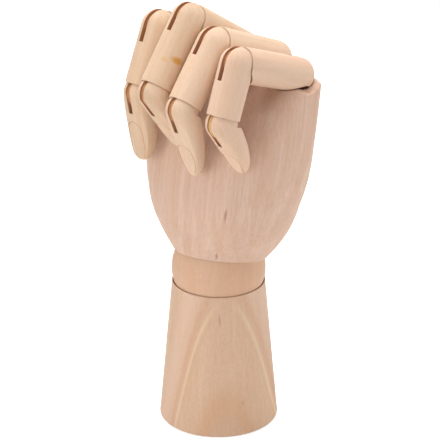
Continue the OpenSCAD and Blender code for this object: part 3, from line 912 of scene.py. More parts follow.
@dataclass
class ForearmBase:
    """The turned base with its eased foot, its cup and its blind spring chamber."""

    material: bpy.types.Material
    sawn: bpy.types.Material
    foot_ease: float = 0.8
    rim_ease: float = 0.12
    mouth_deep: float = 1.7
    side_from: float = 1.2
    segments: int = 128

    def build(self) -> None:
        """Makes the base."""
        foot, top, high = SIZE.base_foot_d / 2, SIZE.base_top_d / 2, SIZE.base_h
        seat = SIZE.ball_d / 2 + SIZE.ball_gap
        bore = SIZE.chamber_d / 2
        heights = np.linspace(self.side_from, high - self.rim_ease, 44)
        profile = [(0.0, 0.0), (foot * 0.4, 0.0), (foot * 0.8, 0.0)]
        profile += arc((foot - self.foot_ease, self.foot_ease), self.foot_ease, -90, 0, 5)
        profile += [(foot + (top - foot) * z / high, z) for z in heights]
        profile += arc((top - self.rim_ease, high - self.rim_ease), self.rim_ease, 10, 88, 4)
        low = math.degrees(-math.acos(bore / seat))
        # The cup's mouth is opened a little, which leaves the thin shaded line round the ball
        edge = math.degrees(math.asin((high - self.mouth_deep - SIZE.ball_z) / seat))
        profile += arc((0.0, SIZE.ball_z), seat, edge, low, 12)
        floor = SIZE.base_pin_z - SIZE.spring_d
        throat = SIZE.ball_z - math.sqrt(seat ** 2 - bore ** 2) - 1
        profile += [(bore, z) for z in np.linspace(throat, floor, 8)]
        profile += [(bore * 0.5, floor), (0.0, floor)]
        points, faces = lathe(profile, self.segments)
        piece = new_object("forearm_base_turned", points, faces, Matrix.Identity(4), self.material)
        outside = Vector((0, 40, SIZE.base_pin_z))
        blind = Vector((0, -CROSS_PIN_IN, SIZE.base_pin_z))
        hole = rod_cutter(outside, blind, SIZE.cross_pin_d / 2 + HOLE_EASE)
        combine(piece, [(hole, Matrix.Identity(4))])
        # The cup's inside takes the darker sawn finish, partly painted shade in the gap round the ball
        line_hollow(piece, self.sawn, (0.0, 0.0, SIZE.ball_z), seat)
        crisp(piece)
        settle(piece, "forearm", "base_wood", "forearm_base")


@dataclass
class WristBall:
    """The bored ball, its bore's edges eased."""

    material: bpy.types.Material
    edge_turn: float = 1.5
    edge_out: float = 0.25
    edge_top: float = 0.15
    edge_deep: float = 0.6
    segments: int = 128

    def build(self) -> None:
        """Makes the ball."""
        radius, bore = SIZE.ball_d / 2, SIZE.ball_bore_d / 2
        start = math.degrees(math.acos(bore / radius))
        outline = arc((0.0, 0.0), radius, -start + self.edge_turn, start - self.edge_turn, 72)
        height = radius * math.sin(math.radians(start))
        ring = outline + [(bore + self.edge_out, height - self.edge_top), (bore, height - self.edge_deep)]
        ring += [(bore, z) for z in np.linspace(height - 2, -height + 2, 10)]
        ring += [(bore, -height + self.edge_deep), (bore + self.edge_out, -height + self.edge_top)]
        angle = np.arange(self.segments) * 2 * math.pi / self.segments
        rings = [np.stack([r * np.cos(angle), r * np.sin(angle), np.full(self.segments, z)], 1)
                 for r, z in ring]
        points, faces = rings_mesh(rings + rings[:1], closed_ends=False)
        # The ball halves the wrist's lean
        place = at(0, 0, SIZE.ball_z) @ turn(-SIZE.lean_back / 2, "X") @ turn(-SIZE.lean_side / 2, "Y")
        piece = new_object("wrist_ball_turned", points, faces, place, self.material)
        work = bmesh.new()
        work.from_mesh(piece.data)
        bmesh.ops.remove_doubles(work, verts=work.verts, dist=1e-7)
        bmesh.ops.recalc_face_normals(work, faces=work.faces)
        work.to_mesh(piece.data)
        work.free()
        crisp(piece, 50)
        settle(piece, "ball", "ball_wood", "wrist_ball")


@dataclass
class WristSpring:
    """The extension spring, one round wire from hook to hook."""

    material: bpy.types.Material
    lead: float = 4.0
    bend: float = 2.0
    hook_gap: float = 0.15
    sides: int = 10
    steps: int = 20

    def route(self, length: float) -> np.ndarray:
        """Centre line of the wire along Z: hook, lead, bend, coil, and the same back.

        Args:
            length: distance between the two cross pins, in millimetres.

        Returns:
            The line's points.
        """
        coil = SIZE.spring_d / 2
        low = coil - SIZE.wire_d / 2 - SIZE.cross_pin_d / 2 - self.hook_gap
        high = length - low
        z1, z2 = low + self.lead + self.bend, high - self.lead - self.bend
        shift = math.degrees(self.bend / coil)
        total = 360 * SIZE.spring_turns - 2 * shift
        quarters = (22.5, 45, 67.5)

        def on(angle: float, z: float) -> tuple[float, float, float]:
            """Point of the coil at an angle in degrees and a height."""
            return (coil * math.cos(math.radians(angle)), coil * math.sin(math.radians(angle)), z)

        def part(a: float) -> Point:
            """Cosine and sine of an angle in degrees."""
            return math.cos(math.radians(a)), math.sin(math.radians(a))

        path = [(coil * part(a)[0], 0.0, low + coil * part(a)[1]) for a in range(-200, 0, 10)]
        path += [(coil, 0.0, low + self.lead * t) for t in (0, 0.33, 0.67, 1)]
        path += [on(shift * (1 - part(a)[0]), low + self.lead + self.bend * part(a)[1])
                 for a in quarters]
        count = self.steps * SIZE.spring_turns
        path += [on(shift + total * i / count, z1 + (z2 - z1) * i / count) for i in range(count + 1)]
        path += [on(shift + total + shift * part(a)[0], high - self.lead - self.bend * part(a)[1])
                 for a in reversed(quarters)]
        path += [(coil, 0.0, high - self.lead * t) for t in (1, 0.67, 0.33, 0)]
        path += [(coil * part(a)[0], 0.0, high + coil * part(a)[1]) for a in range(10, 201, 10)]
        return np.array(path)

    def build(self) -> None:
        """Makes the spring between the two cross pins."""
        lower = Vector((0, 0, SIZE.base_pin_z))
        upper = (hand_frame() @ (Vector((0, 0, SIZE.palm_pin_z)) * MM)) / MM
        span = upper - lower
        points, faces = tube(self.route(span.length), SIZE.wire_d / 2, self.sides)
        tilt_y = math.degrees(math.atan2(span.x, math.hypot(span.y, span.z)))
        tilt_x = -math.degrees(math.asin(span.y / span.length))
        place = at(*lower) @ turn(tilt_x, "X") @ turn(tilt_y, "Y")
        piece = new_object("wrist_spring_wire", points, faces, place, self.material)
        crisp(piece, 60)
        settle(piece, "spring", "spring_steel", "wrist_spring")


# ------------------------------------------------------------------ palm

# How far the palm's front falls back at each height, in mm
FRONT_FALL = (
    (40, 0), (52, 0.3), (62, 1.6), (70, 3.8), (78, 7.5), (84, 11.2), (89, 16.2), (93, 21),
    (97, 25.5), (106, 33),
)
# The proximal pieces' cut underside: distance under the axis, and place along the piece, in mm
KNUCKLE_RELIEF: tuple[Point, ...] = ((4.4, -0.7), (6.5, 3.6), (9.8, 12.0))


@dataclass
class Palm:
    """The palm block: round at the wrist, boxy at the knuckles, its top scooped for the fingers."""

    material: bpy.types.Material
    sawn: bpy.types.Material
    swell_z: float = 62.0
    front_z: float = 40.0
    sides_z: float = 85.0
    swell_power: float = 2.6
    heel: float = 1.5
    heel_h: float = 30.0
    thumb_taper: float = 4.0
    thumb_taper_z: float = 78.0
    thumb_taper_h: float = 20.0
    back_crown: float = 1.2
    back_round: float = 13.5
    thumb_round: float = 14.5
    little_round: Point = (38.5, 29.7)
    lip_y: float = 15.2
    rise_y: float = 7.0
    lip_tilt: float = 23.0
    lip_edge_y: float = 19.3
    lip_edge_tilt: float = 52.0
    lip_round: float = 0.8
    arch_x: float = 1.0
    corner_steps: int = 20
    side_steps: int = 16
    edge_round: float = 0.5
    wall_steep: float = 6.0
    edge_under: float = 0.35
    top_ease: float = 0.7
    top_z: float = 106.0
    boss_balls: tuple[tuple[tuple[float, float, float], float], ...] = (
        ((-16, 2, 22), 12.0), ((-24, 4, 34), 11.0))

    def ease(self, z: float, top: float) -> float:
        """Quarter sine from the rim to a height."""
        return math.sin(math.pi / 2 * self.part(z, top - SIZE.palm_rim_z))

    def part(self, z: float, high: float) -> float:
        """Share of a distance above the rim, held between 0 and 1."""
        return min(1.0, max(0.0, (z - SIZE.palm_rim_z) / high))

    def reach(self, z: float) -> tuple[float, float, float, float]:
        """Reach of the palm at a height.

        Args:
            z: the height.

        Returns:
            Its reach to the right, left, front and back.
        """
        rim = SIZE.palm_rim_r
        swell = 1 - (1 - self.part(z, self.sides_z - SIZE.palm_rim_z)) ** self.swell_power
        heel = self.heel * math.sin(math.pi * self.part(z, self.heel_h))
        right = rim + (SIZE.little_side - rim) * swell + heel
        left = rim + (SIZE.thumb_side - rim) * swell + heel
        left -= self.thumb_taper * max(0.0, z - self.thumb_taper_z) / self.thumb_taper_h
        if z < self.front_z:
            fore = rim + (SIZE.palm_front - rim) * self.ease(z, self.front_z)
        else:
            fore = SIZE.palm_front - float(np.interp(z, *zip(*FRONT_FALL)))
        rear = rim + (SIZE.palm_back - rim) * self.ease(z, self.swell_z)
        rear += self.back_crown * math.sin(math.pi * min(1.0, (z - SIZE.palm_rim_z) / self.swell_z))
        return right, left, fore, rear

    def ring(self, z: float) -> np.ndarray:
        """Outline of the palm at a height, with the same points in the same order at each.

        Args:
            z: the height.

        Returns:
            Array of x, y.
        """
        right, left, fore, rear = self.reach(z)
        box = self.ease(z, self.swell_z)
        rim = SIZE.palm_rim_r
        rear_r = rim * (1 - box) + self.back_round * box
        fore_r = min(rim * (1 - box) + self.thumb_round * box, (fore + rear) / 2)
        round_x = rim * (1 - box) + self.little_round[0] * box
        round_y = min(rim * (1 - box) + self.little_round[1] * box, fore + rear - rear_r)
        corners = (
            (right - rear_r, rear - rear_r, rear_r, rear_r, 0),
            (-left + rear_r, rear - rear_r, rear_r, rear_r, 90),
            (-left + fore_r, -fore + fore_r, fore_r, fore_r, 180),
            (right - round_x, -fore + round_y, round_x, round_y, 270),
        )
        points: list[Point] = []
        for i, (cx, cy, rx, ry, start) in enumerate(corners):
            for a in np.linspace(0, 90, self.corner_steps + 1):
                t = math.radians(start + a)
                points.append((cx + rx * math.cos(t), cy + ry * math.sin(t)))
            nx, ny, nrx, nry, nstart = corners[(i + 1) % 4]
            t = math.radians(nstart)
            target = (nx + nrx * math.cos(t), ny + nry * math.sin(t))
            here = points[-1]
            for s in np.linspace(0, 1, self.side_steps + 1)[1:-1]:
                points.append((here[0] + (target[0] - here[0]) * s, here[1] + (target[1] - here[1]) * s))
        return np.array(points)

    def top(self, x: np.ndarray, y: np.ndarray) -> np.ndarray:
        """Height of the palm's top: knuckle arch, lip, cups and troughs, with eased edges.

        Args:
            x: places across.
            y: places from front to back.

        Returns:
            The heights.
        """
        drop = SIZE.arch_r - np.sqrt(np.maximum(SIZE.arch_r ** 2 - (x - self.arch_x) ** 2, 1.0))
        floor = SIZE.arch_z - drop
        slope = math.tan(math.radians(self.lip_tilt))
        lip = SIZE.arch_z + SIZE.lip_h - drop - (y - self.lip_y) * slope
        edge_z = SIZE.arch_z + SIZE.lip_h - (self.lip_edge_y - self.lip_y) * slope
        edge = edge_z - drop - (y - self.lip_edge_y) * math.tan(math.radians(self.lip_edge_tilt))
        lip = soft_min(lip, edge, self.lip_round)
        rise = floor + np.maximum(y - self.rise_y, 0.0) * SIZE.lip_h / (self.lip_y - self.rise_y)
        high = soft_min(lip, rise, self.lip_round)
        for finger in Finger:
            high = soft_min(high, self.cup(x, y, finger), self.edge_round)
            high = soft_min(high, self.trough(x, y, finger), self.edge_round)
        return high

    def cup(self, x: np.ndarray, y: np.ndarray, finger: Finger) -> np.ndarray:
        """Lower half of the sphere round a knuckle, far up outside it.

        Args:
            x: places across.
            y: places from front to back.
            finger: whose knuckle.

        Returns:
            The heights.
        """
        centre = SIZE.knuckle(finger)
        radius = SIZE.proximal_r[finger.value] + SIZE.cup_gap
        flat = (x - centre.x) ** 2 + (y - centre.y) ** 2
        inside = np.sqrt(np.maximum(radius ** 2 - flat, 0.0))
        outside = np.maximum(np.sqrt(flat) - radius, 0.0) * self.wall_steep
        return centre.z - inside + outside

    def trough(self, x: np.ndarray, y: np.ndarray, finger: Finger) -> np.ndarray:
        """Underside of a closed proximal phalanx with its sloping relief, plus the gap.

        Args:
            x: places across.
            y: places from front to back.
            finger: whose phalanx.

        Returns:
            The heights.
        """
        i = finger.value
        centre = SIZE.knuckle(finger)
        angle = math.radians(SIZE.flex_1[i] + SIZE.knuckle_close)
        radius = SIZE.proximal_r[i] + SIZE.trough_gap
        across = np.abs(x - centre.x)
        along = -(y - centre.y) / max(math.sin(angle), 0.2)
        for _ in range(2):
            deep = self.under(across, along, radius)
            along = (-(y - centre.y) - deep * math.cos(angle)) / math.sin(angle)
        deep = self.under(across, along, radius)
        high = centre.z + along * math.cos(angle) - deep * math.sin(angle)
        behind = np.maximum(-along, 0.0) * self.wall_steep
        return high + behind + np.maximum(across - radius, 0.0) * self.wall_steep

    def under(self, across: np.ndarray, along: np.ndarray, radius: float) -> np.ndarray:
        """Distance from the phalanx's axis down to its cut underside.

        Args:
            across: distances from its middle plane.
            along: places along it.
            radius: its radius with the gap.

        Returns:
            The distances.
        """
        body = np.sqrt(np.maximum(radius ** 2 - np.minimum(across, radius) ** 2, 0.0))
        places = [point[1] for point in KNUCKLE_RELIEF]
        depths = [point[0] + SIZE.cup_gap for point in KNUCKLE_RELIEF]
        slope = (depths[-1] - depths[-2]) / (places[-1] - places[-2])
        relief = np.interp(along, places, depths) + np.maximum(along - places[-1], 0) * slope
        return np.minimum(body, relief)

    def build(self) -> None:
        """Makes the palm with its thumb boss, bores and pin hole."""
        levels = np.concatenate([SIZE.palm_rim_z + np.array([0.0, 0.35, 1.0, 2.0]),
                                 np.linspace(SIZE.palm_rim_z + 3.5, self.top_z, 76)])
        stack = np.array([self.ring(float(z)) for z in levels])
        rings = self.inside(stack[0]) + self.sides(stack, levels)
        rings += self.crown(rings[-1])
        points, faces = rings_mesh(rings)
        points[-1][2] = float(self.top(points[-1][:1], points[-1][1:2])[0])
        piece = new_object("palm_shaped", points, faces, hand_frame(), self.material)
        self.fit_joints(piece)
        crisp(piece, 38)
        settle(piece, "hand", "palm_wood", "palm")

    def inside(self, first: np.ndarray) -> list[np.ndarray]:
        """Rings of the spring chamber and the ball's seat, from the chamber's floor to the rim.

        Args:
            first: the palm's lowest outline, which gives the directions of a ring's points.

        Returns:
            The rings.
        """
        way = first / np.linalg.norm(first, axis=1)[:, None]
        seat, bore = SIZE.ball_d / 2 + SIZE.ball_gap, SIZE.chamber_d / 2
        floor = SIZE.palm_pin_z + SIZE.spring_d
        meet = math.sqrt(seat ** 2 - bore ** 2)
        low, high = math.asin(meet / seat), math.asin((SIZE.palm_rim_z + 0.1) / seat)
        spots = [(bore, 0.5, floor), (bore, 1.0, floor), (bore, 1.0, (floor + meet) / 2)]
        spots += [(seat, math.cos(a), seat * math.sin(a)) for a in np.linspace(low, high, 9)]
        spots.append((seat * math.cos(high) + 0.05, 1.0, SIZE.palm_rim_z))
        return [np.c_[way * radius * share, np.full(len(way), z)] for radius, share, z in spots]

    def sides(self, stack: np.ndarray, levels: np.ndarray) -> list[np.ndarray]:
        """Rings of the outside, from the rim up to the edge of the top.

        Args:
            stack: the outline at each level.
            levels: the levels' heights.

        Returns:
            The rings.
        """
        edge = self.edge_height(stack, levels)
        shares = np.concatenate([[0.002, 0.006, 0.014], np.linspace(0.03, 0.985, 74), [0.993, 1.0]])
        return [self.on_side(stack, levels, SIZE.palm_rim_z + (edge - SIZE.palm_rim_z) * share)
                for share in shares]

    def crown(self, rim: np.ndarray) -> list[np.ndarray]:
        """Rings of the top, from its eased edge inwards.

        Args:
            rim: the last ring of the sides.

        Returns:
            The rings.
        """
        rings = []
        centre = np.array([4.0, 6.0])
        for share in np.concatenate([[0.006, 0.014, 0.025], np.linspace(0.04, 0.97, 66)]):
            flat = rim[:, :2] + (centre - rim[:, :2]) * share
            inset = np.linalg.norm(rim[:, :2] - flat, axis=1)
            z = self.top(flat[:, 0], flat[:, 1])
            z = z - np.maximum(0.0, self.top_ease - inset) ** 2 / (2 * self.top_ease)
            rings.append(np.c_[flat, z])
        return rings

    def fit_joints(self, piece: bpy.types.Object) -> None:
        """Joins the thumb's boss on, and cuts the thumb's seat, the pockets and the pin hole.

        Args:
            piece: the palm.
        """
        place, thumb = hand_frame(), thumb_frames()[0]
        combine(piece, [(self.boss(), place)], "UNION")
        cup, wide = SIZE.thumb_r[0] + SIZE.cup_gap, SIZE.thumb_r[0] + SIZE.trough_gap
        ball = lathe([(0.0, -cup)] + arc((0, 0), cup, -85, 85, 32) + [(0.0, cup)], 72)
        body = lathe([(0, 0), (wide, 0), (wide, SIZE.thumb_len[0]), (0, SIZE.thumb_len[0])], 72)
        combine(piece, [(ball, thumb), (body, thumb)])
        outside = Vector((0, 60, SIZE.palm_pin_z))
        blind = Vector((0, -CROSS_PIN_IN, SIZE.palm_pin_z))
        pin = rod_cutter(outside, blind, SIZE.cross_pin_d / 2 + HOLE_EASE)
        mortise = pocket(-SIZE.seat_back, 0)
        pockets = [(pin, place), (mortise, thumb @ turn(-90, "Z"))]
        pockets += [(mortise, place @ at(*SIZE.knuckle(finger))) for finger in Finger]
        # The pockets and pin hole take the darker sawn finish, partly painted shade in these recesses
        combine(piece, pockets, lining=self.sawn)
        # The ball's seat and the knuckle cups take the darker sawn finish, partly painted shade in these
        # hollows
        line_hollow(piece, self.sawn, (0.0, 0.0, 0.0), SIZE.ball_d / 2 + SIZE.ball_gap)
        for finger in Finger:
            cup = SIZE.proximal_r[finger.value] + SIZE.cup_gap
            line_hollow(piece, self.sawn, SIZE.knuckle(finger), cup)

    def edge_height(self, stack: np.ndarray, levels: np.ndarray) -> np.ndarray:
        """Height at which each line up the side meets the top.

        Args:
            stack: the outline at each level.
            levels: the levels' heights.

        Returns:
            The heights.
        """
        tops = np.stack([self.top(outline[:, 0], outline[:, 1]) - z - self.edge_under
                         for outline, z in zip(stack, levels)])
        result = np.zeros(stack.shape[1])
        for j in range(stack.shape[1]):
            k = int(np.argmax(tops[:, j] < 0))
            share = tops[k - 1, j] / (tops[k - 1, j] - tops[k, j])
            result[j] = levels[k - 1] + share * (levels[k] - levels[k - 1])
        return result

    def on_side(self, stack: np.ndarray, levels: np.ndarray, z: np.ndarray) -> np.ndarray:
        """Points of the side at a height of their own for each line.

        Args:
            stack: the outline at each level.
            levels: the levels' heights.
            z: each line's own height.

        Returns:
            Array of x, y, z.
        """
        columns = np.arange(stack.shape[1])
        x = np.array([np.interp(z[j], levels, stack[:, j, 0]) for j in columns])
        y = np.array([np.interp(z[j], levels, stack[:, j, 1]) for j in columns])
        return np.stack([x, y, z], 1)

    def boss(self) -> Shape:
        """Smooth boss beside the heel that carries the thumb.

        Returns:
            The hull round a disc under the thumb and three balls.
        """
        root = Vector(SIZE.thumb_root)
        lean = Matrix.Rotation(math.radians(-SIZE.thumb_lean), 3, "Y")
        points: list[Vector] = []
        disc = SIZE.thumb_r[0] + 1
        seat = -SIZE.seat_back
        for a in np.linspace(0, 2 * math.pi, 72, endpoint=False):
            for z, shrink in ((seat - 1.5, 0.0), (seat - 0.45, 0.0), (seat, 0.45)):
                spot = Vector(((disc - shrink) * math.cos(a), (disc - shrink) * math.sin(a), z))
                points.append(root + lean @ spot)
        under = ((root.x + 6, root.y, root.z - 13), 8.0)
        for centre, radius in (under, *self.boss_balls):
            for a in np.linspace(0, 2 * math.pi, 56, endpoint=False):
                for b in np.linspace(-1.5, 1.5, 29):
                    way = Vector((math.cos(a) * math.cos(b), math.sin(a) * math.cos(b), math.sin(b)))
                    points.append(Vector(centre) + 0.985 * radius * way)
        work = bmesh.new()
        for point in points:
            work.verts.new(point)
        bmesh.ops.convex_hull(work, input=work.verts)
        loose = [vert for vert in work.verts if not vert.link_faces]
        bmesh.ops.delete(work, geom=loose, context="VERTS")
        work.verts.index_update()
        corners = np.array([vert.co[:] for vert in work.verts])
        faces = [[vert.index for vert in face.verts] for face in work.faces]
        work.free()
        return corners, faces


def soft_min(a: np.ndarray, b: np.ndarray, width: float) -> np.ndarray:
    """Smaller of two heights, with the crease between them rounded."""
    blend = np.clip(0.5 + 0.5 * (b - a) / width, 0.0, 1.0)
    return b + (a - b) * blend - width * blend * (1 - blend) * 0.5


# ------------------------------------------------------------------ fingers

@dataclass
class Phalanx:
    """A finger piece with a slotted dome at its pivot and a cup at its far end."""

    name: str
    place: Matrix
    length: float
    head: float
    next_head: float
    relief: tuple[Point, ...]
    fold: float
    material: bpy.types.Material
    sawn: bpy.types.Material
    body: str
    turned: float = 0.0
    rim_ease: float = 0.2
    cup_gap: float = 0.12

    def outline(self) -> list[Point]:
        """Outline of the turned piece.

        Returns:
            Its (radius, height) points from the dome's pole to the bottom of the cup.
        """
        end = self.length - SIZE.rim_back
        rim = self.next_head + SIZE.rim_step
        cup = self.next_head + self.cup_gap
        lip = math.sqrt(cup ** 2 - SIZE.rim_back ** 2)
        points: list[Point] = [(0.0, -self.head)] + arc((0, 0), self.head, -86, 0, 22)
        points += [(self.head + (rim - self.head) * t, end * t) for t in np.linspace(0.03, 0.97, 26)]
        ease = self.rim_ease
        points += [(rim - 0.02, end - ease * 1.6), (rim - 0.07, end - ease * 0.5), (rim - ease, end)]
        points += [(lip + 0.08, end)]
        start = math.degrees(math.atan2(-SIZE.rim_back, lip)) - 1.0
        points += arc((0.0, self.length), cup, start, -86, 18)
        return points + [(0.0, self.length - cup)]

    def relief_cutter(self) -> Shape:
        """The palm-side cut behind the dome.

        Returns:
            Points and faces.
        """
        far = self.head + 4
        first, last = self.relief[0], self.relief[-1]
        shape = [(-first[0], -far)] + [(-p[0], p[1]) for p in self.relief]
        return prism_x(shape + [(-far, last[1]), (-far, -far)], far)

    def build(self) -> None:
        """Makes the piece."""
        points, faces = lathe(self.outline(), 96)
        piece = new_object(self.name + "_shaped", points, faces, self.place, self.material)
        spin = self.place @ turn(self.turned, "Z")
        shapes = [(self.relief_cutter(), spin)] if self.relief else []
        if self.fold:
            closed = at(0, 0, self.length) @ turn(self.fold + SIZE.fold_close, "X")
            shapes.append((self.mouth(), self.place @ closed))
        if shapes:
            combine(piece, shapes)
        mortise = pocket(self.length - SIZE.rim_back, self.length)
        # The slot, pocket and pin hole walls take the darker sawn finish, partly painted shade in these
        # recesses
        sawn = [(self.slot(), spin), (mortise, self.place), (self.pin_hole(), spin)]
        combine(piece, sawn, lining=self.sawn)
        # The cup takes the darker sawn finish, partly painted shade where the next piece's dome sits
        line_hollow(piece, self.sawn, (0.0, 0.0, self.length), self.next_head + self.cup_gap)
        crisp(piece)
        settle(piece, self.body, "finger_wood", self.name)

    def mouth(self) -> Shape:
        """The mouth on the palm side of the rim, as wide as the folded next piece."""
        radius = self.next_head + SIZE.trough_gap
        return lathe([(0.0, 0.0), (radius, 0.0), (radius, 3 * radius), (0.0, 3 * radius)], 96)

    def slot(self) -> Shape:
        """The saw slot across the dome, open but at its inner end.

        Returns:
            Points and faces.
        """
        half = (SIZE.tongue_t + SIZE.slot_gap) / 2
        reach = self.head + 1
        return box_cutter((-half, -reach, -reach), (half, reach, SIZE.slot_past))

    def pin_hole(self) -> Shape:
        """Blind hole for the pivot pin."""
        start, end = Vector((-self.head - 1, 0, 0)), Vector((self.head - SIZE.pin_cover, 0, 0))
        return rod_cutter(start, end, SIZE.pin_d / 2 + HOLE_EASE, 24)


@dataclass
class Fingertip:
    """A distal piece: rounded taper, straightened back and a nail set a little below it."""

    name: str
    place: Matrix
    length: float
    head: float
    blunt: float
    nail_start: float
    material: bpy.types.Material
    sawn: bpy.types.Material
    scribed: bpy.types.Material
    body: str
    straight: float = 4.0
    back_slope: float = 8.3
    back_shave: float = 0.5
    back_crown: float = 1.8
    back_soft: Point = (0.12, 0.8)
    nail_width: float = 0.62
    nail_end: float = 0.86
    nail_edge: float = 0.35
    nail_depth: float = 0.25
    nail_groove: float = 0.3
    relief_tilt: float = 46.0
    relief_wall: float = 1.3
    around: int = 120

    def radius(self, z: np.ndarray) -> np.ndarray:
        """Radius of the taper at a height."""
        part = np.clip((z - self.straight) / (self.length - self.straight), 0.0, 1.0)
        return self.head * np.sqrt(np.maximum(1 - part ** self.blunt, 0.0))

    def back(self, z: np.ndarray) -> np.ndarray:
        """Height of the straightened back above the axis."""
        return (self.head - self.back_shave) - z * math.tan(math.radians(self.back_slope))

    def lie(self, x: np.ndarray, z: float) -> np.ndarray:
        """Height of the back, a little round from side to side."""
        big = self.back_crown * self.head
        return self.back(np.full_like(x, z)) - (big - np.sqrt(np.maximum(big ** 2 - x ** 2, 1.0)))

    def ring(self, z: float, radius: float) -> np.ndarray:
        """One ring, its back limited by the straight back and set down at the nail.

        Args:
            z: its height.
            radius: its radius before that.

        Returns:
            Array of x, y, z.
        """
        angle = np.arange(self.around) * 2 * math.pi / self.around
        x, y = radius * np.cos(angle), radius * np.sin(angle)
        limit = self.lie(x, z)
        high, soft = self.back_soft
        y = np.where(y > limit, limit + high * np.tanh((y - limit) / soft), y)
        y = np.where(y > 0, y - self.nail(x, z), y)
        return np.stack([x, y, np.full(self.around, z)], 1)

    def nail_half(self, z: float) -> float:
        """Half of the nail's width: an arch first, then nearly straight, narrower to the tip.

        Args:
            z: the height.

        Returns:
            Half of the width.
        """
        half = self.nail_width * self.head
        centre = self.nail_start * self.length + half
        if z <= centre:
            return math.sqrt(max(half ** 2 - (centre - z) ** 2, 0.0))
        return min(half, 0.8 * float(self.radius(np.array(z))))

    def nail(self, x: np.ndarray, z: float) -> np.ndarray:
        """How far the nail lies below the skin round it.

        Args:
            x: places across.
            z: the height.

        Returns:
            The distances.
        """
        if z < self.nail_start * self.length:
            return np.zeros_like(x)
        return self.nail_depth * np.clip((self.nail_half(z) - np.abs(x)) / self.nail_edge, 0.0, 1.0)

    def nail_line(self) -> Shape:
        """Thin groove round the nail, as a wire that runs along the skin.

        Returns:
            Points and faces.
        """
        arch = self.nail_width * self.head
        end = (1 - self.nail_start) * self.length * self.nail_end
        heights = np.concatenate([np.linspace(0.0, 1.0, 13) ** 2 * self.nail_width * self.head,
                                  np.linspace(arch + 0.4, end, 12)])
        heights = heights + self.nail_start * self.length
        side = [(self.nail_half(float(z)), float(z)) for z in heights]
        outline = [(-x, z) for x, z in reversed(side[1:])] + side
        path = []
        for x, z in outline:
            body = math.sqrt(max(float(self.radius(np.array(z))) ** 2 - x ** 2, 0.0))
            path.append((x, min(body, float(self.lie(np.array([x]), z)[0])) - 0.02, z))
        return tube(np.array(path), self.nail_groove, 8)

    def end_relief(self) -> Shape:
        """Shallow groove on the palm side of the dome.

        Returns:
            Points and faces.
        """
        tilt = math.radians(self.relief_tilt)
        wall = self.head + self.relief_wall
        far = self.head + 4
        shape = [(0.0, 0.0), (-self.head * math.cos(tilt), self.head * math.sin(tilt)),
                 (-wall * math.cos(tilt) - 0.8, wall * math.sin(tilt) + 0.6),
                 (-far, wall * math.sin(tilt) + 0.8), (-far, 0.0)]
        return prism_x(shape, far)

    def dome(self, radius: float, angles: np.ndarray) -> list[np.ndarray]:
        """Rings of the head.

        Args:
            radius: the head's radius.
            angles: each ring's latitude, in degrees.

        Returns:
            The rings.
        """
        return [self.ring(radius * math.sin(math.radians(a)), radius * math.cos(math.radians(a)))
                for a in angles]

    def build(self) -> None:
        """Makes the piece."""
        rings = self.dome(self.head, np.linspace(-86, -4, 20))
        heights = np.concatenate([np.linspace(0, self.length * 0.9, 84),
                                  self.length * (1 - 0.1 * (1 - np.linspace(0.08, 0.99, 16)) ** 2)])
        rings += [self.ring(float(z), float(self.radius(np.array(z)))) for z in heights]
        points, faces = rings_mesh(rings)
        points[-2] = [0, 0, -self.head]
        piece = new_object(self.name + "_shaped", points, faces, self.place, self.material)
        combine(piece, [(self.end_relief(), self.place)])
        combine(piece, [(self.round_head(), self.place)], "UNION")
        head = Phalanx(self.name, self.place, self.length, self.head, self.head, (), 0.0,
                       self.material, self.sawn, self.body)
        # The slot and pin hole walls take the darker sawn finish, partly painted shade in these recesses
        combine(piece, [(head.slot(), self.place), (head.pin_hole(), self.place)], lining=self.sawn)
        # The nail groove's darker colour is painted shade
        combine(piece, [(self.nail_line(), self.place)], lining=self.scribed)
        crisp(piece, 30)
        settle(piece, self.body, "finger_wood", self.name)

    def round_head(self) -> Shape:
        """The ball of the head, shaved on the back as the body is.

        Returns:
            Points and faces.
        """
        radius = self.head - 0.02
        points, faces = rings_mesh(self.dome(radius, np.linspace(-86, 86, 44)))
        points[-2], points[-1] = [0, 0, -radius], [0, 0, radius]
        return points, faces


# The relief of the thumb's root piece, which leaves room for its fold
FOLD_RELIEF: tuple[Point, ...] = tuple(
    (SIZE.relief_floor + a, SIZE.relief_wall + b)
    for a, b in ((0.0, 0.0), (4.3, 0.9), (6.2, 2.6), (9.0, 5.5)))


